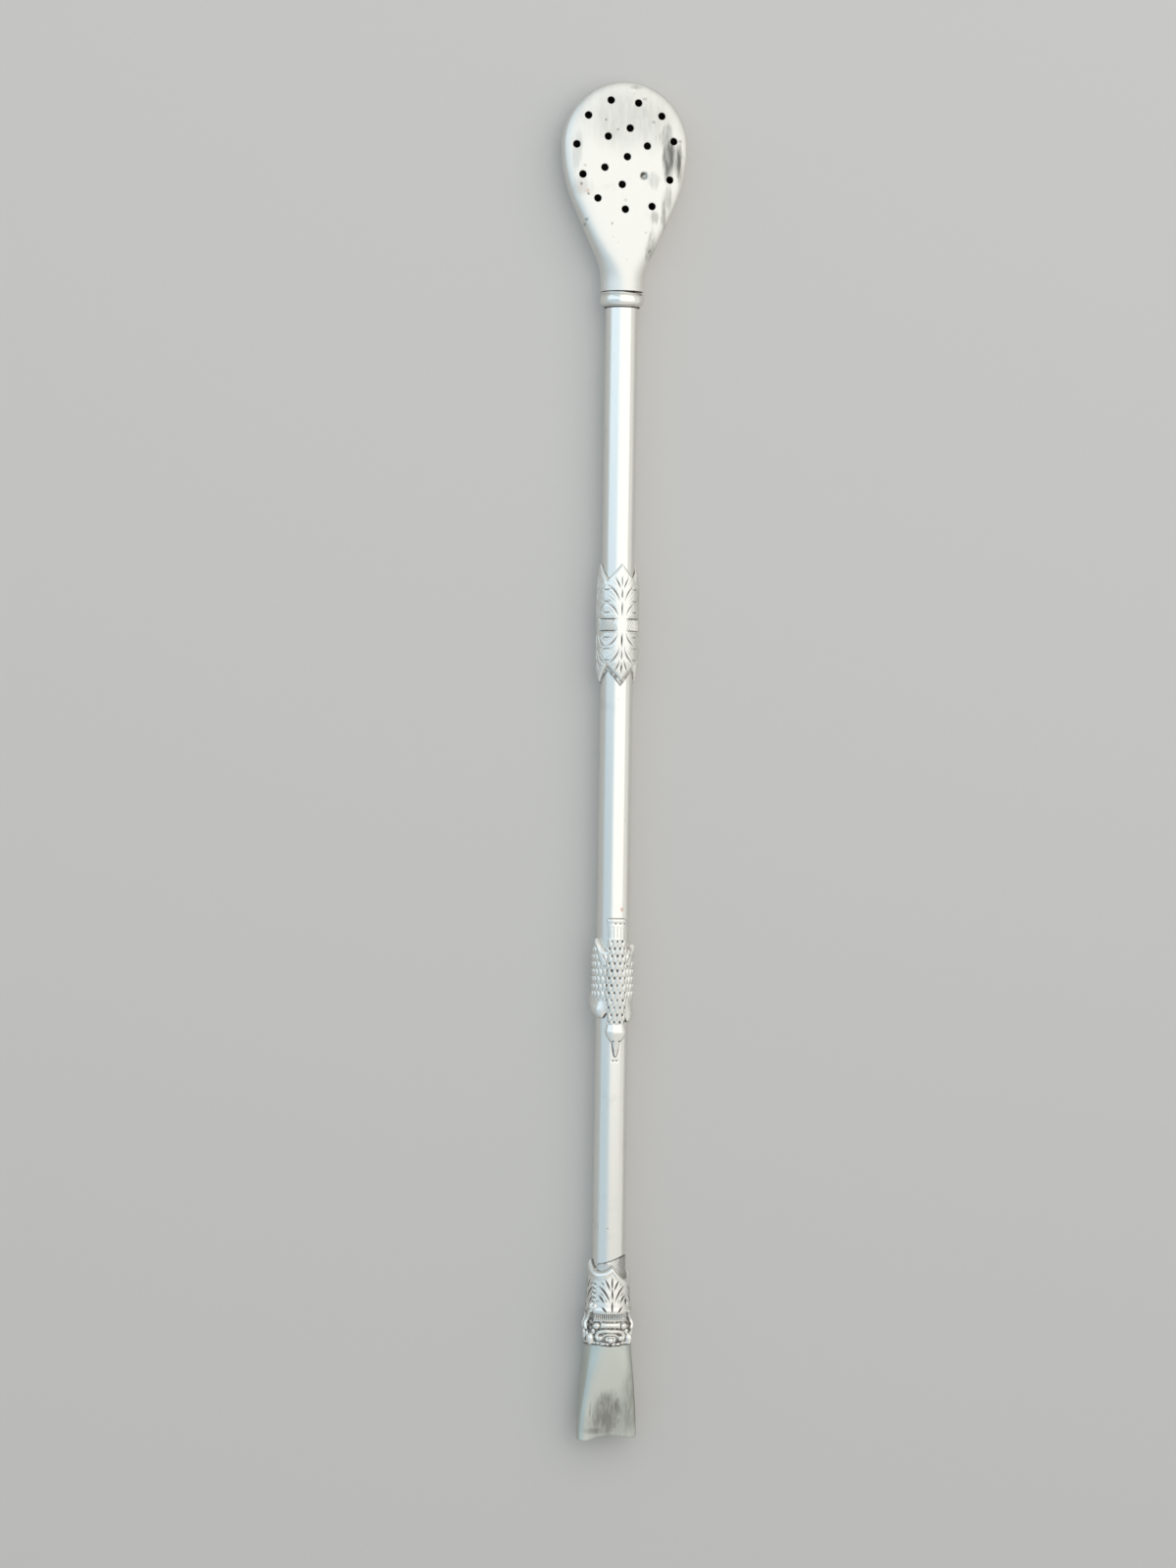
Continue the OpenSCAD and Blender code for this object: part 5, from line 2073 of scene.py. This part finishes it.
BOWL = SilverFinish(
    Slot.BOWL, rough=0.48, cloud_strength=0.16,
    stains_and_painted_shade=(
        StainAndShade((6.9, 97.6, 6.4), (1.4, 3.8, 4.0), 1.0, 0.45, 700.0),
        StainAndShade((8.6, 97.0, 6.0), (1.0, 3.8, 4.0), 1.0, 0.45, 800.0),
        StainAndShade((6.2, 101.6, 6.4), (1.5, 2.4, 4.0), 0.55, 0.8, 800.0),
        StainAndShade((6.8, 91.3, 6.2), (1.0, 2.6, 4.0), 0.45, 0.7, 800.0),
        StainAndShade((6.0, 88.3, 6.2), (0.7, 2.8, 4.0), 0.6, 0.9, 900.0),
        StainAndShade((4.7, 88.0, 6.4), (0.9, 1.1, 4.0), 0.4, 0.8, 900.0),
        StainAndShade((4.4, 93.8, 6.4), (1.1, 1.5, 4.0), 0.25, 0.8, 900.0),
        StainAndShade((3.9, 82.8, 6.2), (1.2, 2.6, 4.0), 0.4, 0.9, 900.0),
        StainAndShade((2.7, 104.8, 6.4), (1.0, 2.0, 4.0), 0.3, 0.8, 700.0),
        StainAndShade((1.4, 108.9, 5.5), (1.3, 0.5, 4.0), 0.4, 0.5, 900.0),
        StainAndShade((-8.2, 98.5, 6.2), (0.9, 4.0, 4.0), 0.22, 0.9, 900.0),
        StainAndShade((-7.2, 92.6, 6.2), (1.6, 1.8, 4.0), 0.16, 0.6, 500.0),
        # Painted shade: the upper face of the bowl made greyer than its bright rim
        StainAndShade((0.5, 104.0, 6.4), (9.5, 6.0, 6.0), 0.26, 0.3, 260.0),
    ),
    copper_spots=(
        StainAndShade((-6.5, 91.9, 6.5), (0.6, 0.6, 1.5), 0.4, 0.6, 900.0),
        StainAndShade((-7.6, 92.2, 6.3), (1.1, 1.4, 1.5), 0.12, 0.5, 500.0),
    ),
    specks=(
        StainAndShade((-3.6, 103.5, 6.6), (0.25, 0.25, 2.0), 0.5, 0.3, 900.0),
        StainAndShade((-1.6, 102.0, 6.6), (0.25, 0.25, 2.0), 0.5, 0.3, 900.0),
        StainAndShade((2.8, 107.1, 6.4), (0.4, 0.3, 2.0), 0.4, 0.5, 900.0),
        StainAndShade((4.3, 103.4, 6.5), (0.35, 0.3, 2.0), 0.5, 0.5, 900.0),
        StainAndShade((8.8, 100.5, 6.0), (0.4, 0.3, 2.0), 0.5, 0.5, 900.0),
        StainAndShade((-7.5, 93.0, 6.3), (0.35, 0.35, 2.0), 0.6, 0.4, 900.0),
        StainAndShade((-7.0, 96.0, 6.4), (0.3, 0.3, 2.0), 0.45, 0.4, 900.0),
        StainAndShade((-6.4, 91.4, 6.4), (0.35, 0.3, 2.0), 0.6, 0.4, 900.0),
        StainAndShade((-6.6, 87.3, 6.2), (0.3, 0.25, 2.0), 0.5, 0.5, 900.0),
        StainAndShade((-6.8, 86.4, 6.0), (0.25, 0.4, 2.0), 0.5, 0.5, 900.0),
        StainAndShade((-2.5, 86.7, 6.8), (0.22, 0.3, 2.0), 0.55, 0.3, 900.0),
        StainAndShade((-0.3, 90.6, 6.8), (0.45, 0.4, 2.0), 0.28, 0.3, 700.0),
        StainAndShade((3.1, 85.4, 6.6), (0.3, 0.3, 2.0), 0.5, 0.4, 900.0),
        StainAndShade((3.85, 82.4, 6.4), (0.35, 0.5, 2.0), 0.5, 0.5, 900.0),
    ),
)
STEM = SilverFinish(
    Slot.STEM, rough=0.21, cloud_strength=0.14,
    copper_spots=(
        StainAndShade((0.85, -24.1, 6.7), (0.26, 0.4, 1.5), 0.8, 0.25, 900.0),
        StainAndShade((-0.8, -75.7, 6.7), (0.22, 0.16, 1.5), 0.6, 0.3, 900.0),
    ),
)
RELIEF = SilverFinish(Slot.RELIEF, rough=0.28, cloud_strength=0.2)
MOUTH = SilverFinish(
    Slot.MOUTH, clean=(0.60, 0.625, 0.58, 1.0), tarnish_and_shade_colour=(0.15, 0.14, 0.12, 1.0), rough=0.36,
    stains_and_painted_shade=(
        StainAndShade((-0.4, -105.8, 5.6), (3.4, 4.6, 3.0), 0.72, 0.4, 520.0),
        StainAndShade((1.0, -104.6, 5.6), (1.2, 2.6, 3.0), 0.75, 0.6, 700.0),
        StainAndShade((-1.2, -104.4, 5.6), (1.0, 2.4, 3.0), 0.6, 0.7, 700.0),
        StainAndShade((-0.2, -107.0, 5.6), (2.4, 1.3, 3.0), 0.7, 0.7, 700.0),
        StainAndShade((-1.2, -108.5, 5.6), (3.0, 1.0, 3.0), 0.7, 0.35, 420.0),
        StainAndShade((-3.1, -105.6, 5.4), (0.35, 2.2, 3.0), 0.55, 0.6, 900.0),
        StainAndShade((3.3, -104.6, 5.4), (0.3, 2.4, 3.0), 0.6, 0.6, 900.0),
        StainAndShade((3.7, -103.5, 5.2), (2.6, 10.0, 3.0), 0.55, 0.3, 300.0),
        StainAndShade((0.0, -108.0, 5.2), (5.5, 3.4, 3.0), 0.34, 0.4, 300.0),
    ),
)
THREAD = SilverFinish(
    Slot.THREAD, clean=(0.70, 0.56, 0.30, 1.0), tarnish_and_shade_colour=(0.30, 0.22, 0.12, 1.0), rough=0.34,
    cloud_strength=0.4,
)


@dataclass(frozen=True)
class Lamp:
    """A soft lamp: its place and size in metres, and its turn from shining straight down in degrees."""

    name: str
    place: Triple
    size: tuple[float, float]
    watts: float
    turn: float = 0.0
    colour: Triple = (1.0, 1.0, 1.0)

    def hang(self) -> None:
        """Adds the lamp to the scene."""
        light = bpy.data.lights.new(self.name, "AREA")
        light.shape = "RECTANGLE"
        light.size, light.size_y = self.size
        light.energy = self.watts
        light.color = self.colour
        lamp = bpy.data.objects.new(self.name, light)
        bpy.context.scene.collection.objects.link(lamp)
        lamp.location = self.place
        lamp.rotation_euler = (0.0, math.radians(self.turn), 0.0)


@dataclass
class Studio:
    """Pale floor, soft lights and the camera."""

    bench: Bench
    focal_px: float = 5033.0
    image: tuple[float, float] = (1200.0, 1600.0)
    centre_px: tuple[float, float] = (628.0, 776.0)
    scale_px: float = 6.291
    side_tilt: float = 12.5
    lean: float = 0.81
    sensor: float = 36.0
    clip: tuple[float, float] = (0.01, 50.0)
    floor_size: float = 6.0
    floor_colour: Colour = (0.86, 0.835, 0.805, 1.0)
    floor_rough: float = 0.32
    room: Colour = (0.88, 0.88, 0.855, 1.0)
    room_left: Colour = (0.62, 0.75, 0.84, 1.0)
    room_light: float = 0.5
    left_fade: tuple[float, float] = (-0.75, 0.1)
    lamps: tuple[Lamp, ...] = (
        Lamp("overhead", (0.31, 0.37, 0.55), (1.1, 0.9), 1.5),
        Lamp("window", (-0.9, 0.48, 1.06), (2.1, 0.84), 2.6, -90.0, (0.8, 0.91, 1.0)),
    )

    def floor(self) -> None:
        """Adds the floor that the straw lies on."""
        bpy.ops.object.select_all(action="DESELECT")
        bpy.ops.mesh.primitive_plane_add(size=self.floor_size, location=(0, 0, 0))
        floor = bpy.context.object
        floor.name = "floor"
        paint = bpy.data.materials.new("pale_floor")
        paint.use_nodes = True
        shader = paint.node_tree.nodes["Principled BSDF"]
        shader.inputs["Base Color"].default_value = self.floor_colour
        shader.inputs["Roughness"].default_value = self.floor_rough
        floor.data.materials.append(paint)

    def world(self) -> None:
        """Lights the room evenly and shows it pale, a little cooler at the left."""
        world = bpy.data.worlds.new("room")
        bpy.context.scene.world = world
        world.use_nodes = True
        world.node_tree.nodes.clear()
        n = Nodes(world.node_tree)
        parts = n.add("ShaderNodeSeparateXYZ")
        n.link(n.add("ShaderNodeTexCoord").outputs["Generated"], parts.inputs[0])
        left = n.ramp(parts.outputs["X"], *self.left_fade, 1.0, 0.0)
        back = n.add("ShaderNodeBackground")
        n.link(n.blend(left, self.room, self.room_left), back.inputs[0])
        rays = n.add("ShaderNodeLightPath")
        seen = n.math("MAXIMUM", rays.outputs["Is Camera Ray"], rays.outputs["Is Glossy Ray"])
        seen = n.math("MAXIMUM", seen, rays.outputs["Is Transmission Ray"])
        n.link(n.ramp(seen, 0.0, 1.0, self.room_light, 1.0), back.inputs[1])
        out = n.add("ShaderNodeOutputWorld")
        n.link(back.outputs[0], out.inputs[0])

    def camera(self) -> None:
        """Sets the camera at the photograph's viewing angle."""
        scene = bpy.context.scene
        data = bpy.data.cameras.new("camera")
        data.sensor_width = self.sensor
        data.lens = self.focal_px * data.sensor_width / max(self.image)
        data.clip_start, data.clip_end = self.clip
        camera = bpy.data.objects.new("camera", data)
        scene.collection.objects.link(camera)
        scene.camera = camera
        tilt, lean = math.radians(self.side_tilt), math.radians(self.lean)
        right = Vector((math.cos(tilt), 0.0, math.sin(tilt)))
        up = Vector((0.0, 1.0, 0.0))
        right, up = right * math.cos(lean) + up * math.sin(lean), up * math.cos(lean) - right * math.sin(lean)
        back = right.cross(up)
        off_x = (self.image[0] / 2 - self.centre_px[0]) / self.scale_px
        off_y = (self.centre_px[1] - self.image[1] / 2) / self.scale_px
        target = Vector((0.0, 0.0, self.bench.axis_z)) + right * off_x + up * off_y
        place = target + back * (self.focal_px / self.scale_px)
        turn = Matrix((right, up, back)).transposed()
        camera.matrix_world = Matrix.Translation(place * MM) @ turn.to_4x4()

    def build(self) -> None:
        """Sets floor, room, lights and camera."""
        self.floor()
        self.world()
        for lamp in self.lamps:
            lamp.hang()
        self.camera()
        bpy.context.scene.view_settings.view_transform = "Standard"


def main() -> None:
    """Builds the straw piece by piece on its frame."""
    logging.basicConfig(level=logging.INFO, format="%(name)s %(message)s")
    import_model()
    bench = Bench.read()
    stem = Stem(bench)
    castings = [LeafSleeve(bench), BirdSleeve(bench), MouthCollar(bench)]
    assemblies: list[SubAssembly] = [stem, Strainer(bench, stem), *castings, Mouthpiece(bench)]
    for assembly in assemblies:
        assembly.build()
    wear, stain_and_shade = make_wear(), make_stain_and_shade()
    finishes = {finish.slot: finish.material(wear, stain_and_shade) for finish in (BOWL, STEM, RELIEF, MOUTH, THREAD)}
    for assembly in assemblies:
        assembly.dress(finishes)
    Studio(bench).build()


if __name__ == "__main__":
    main()
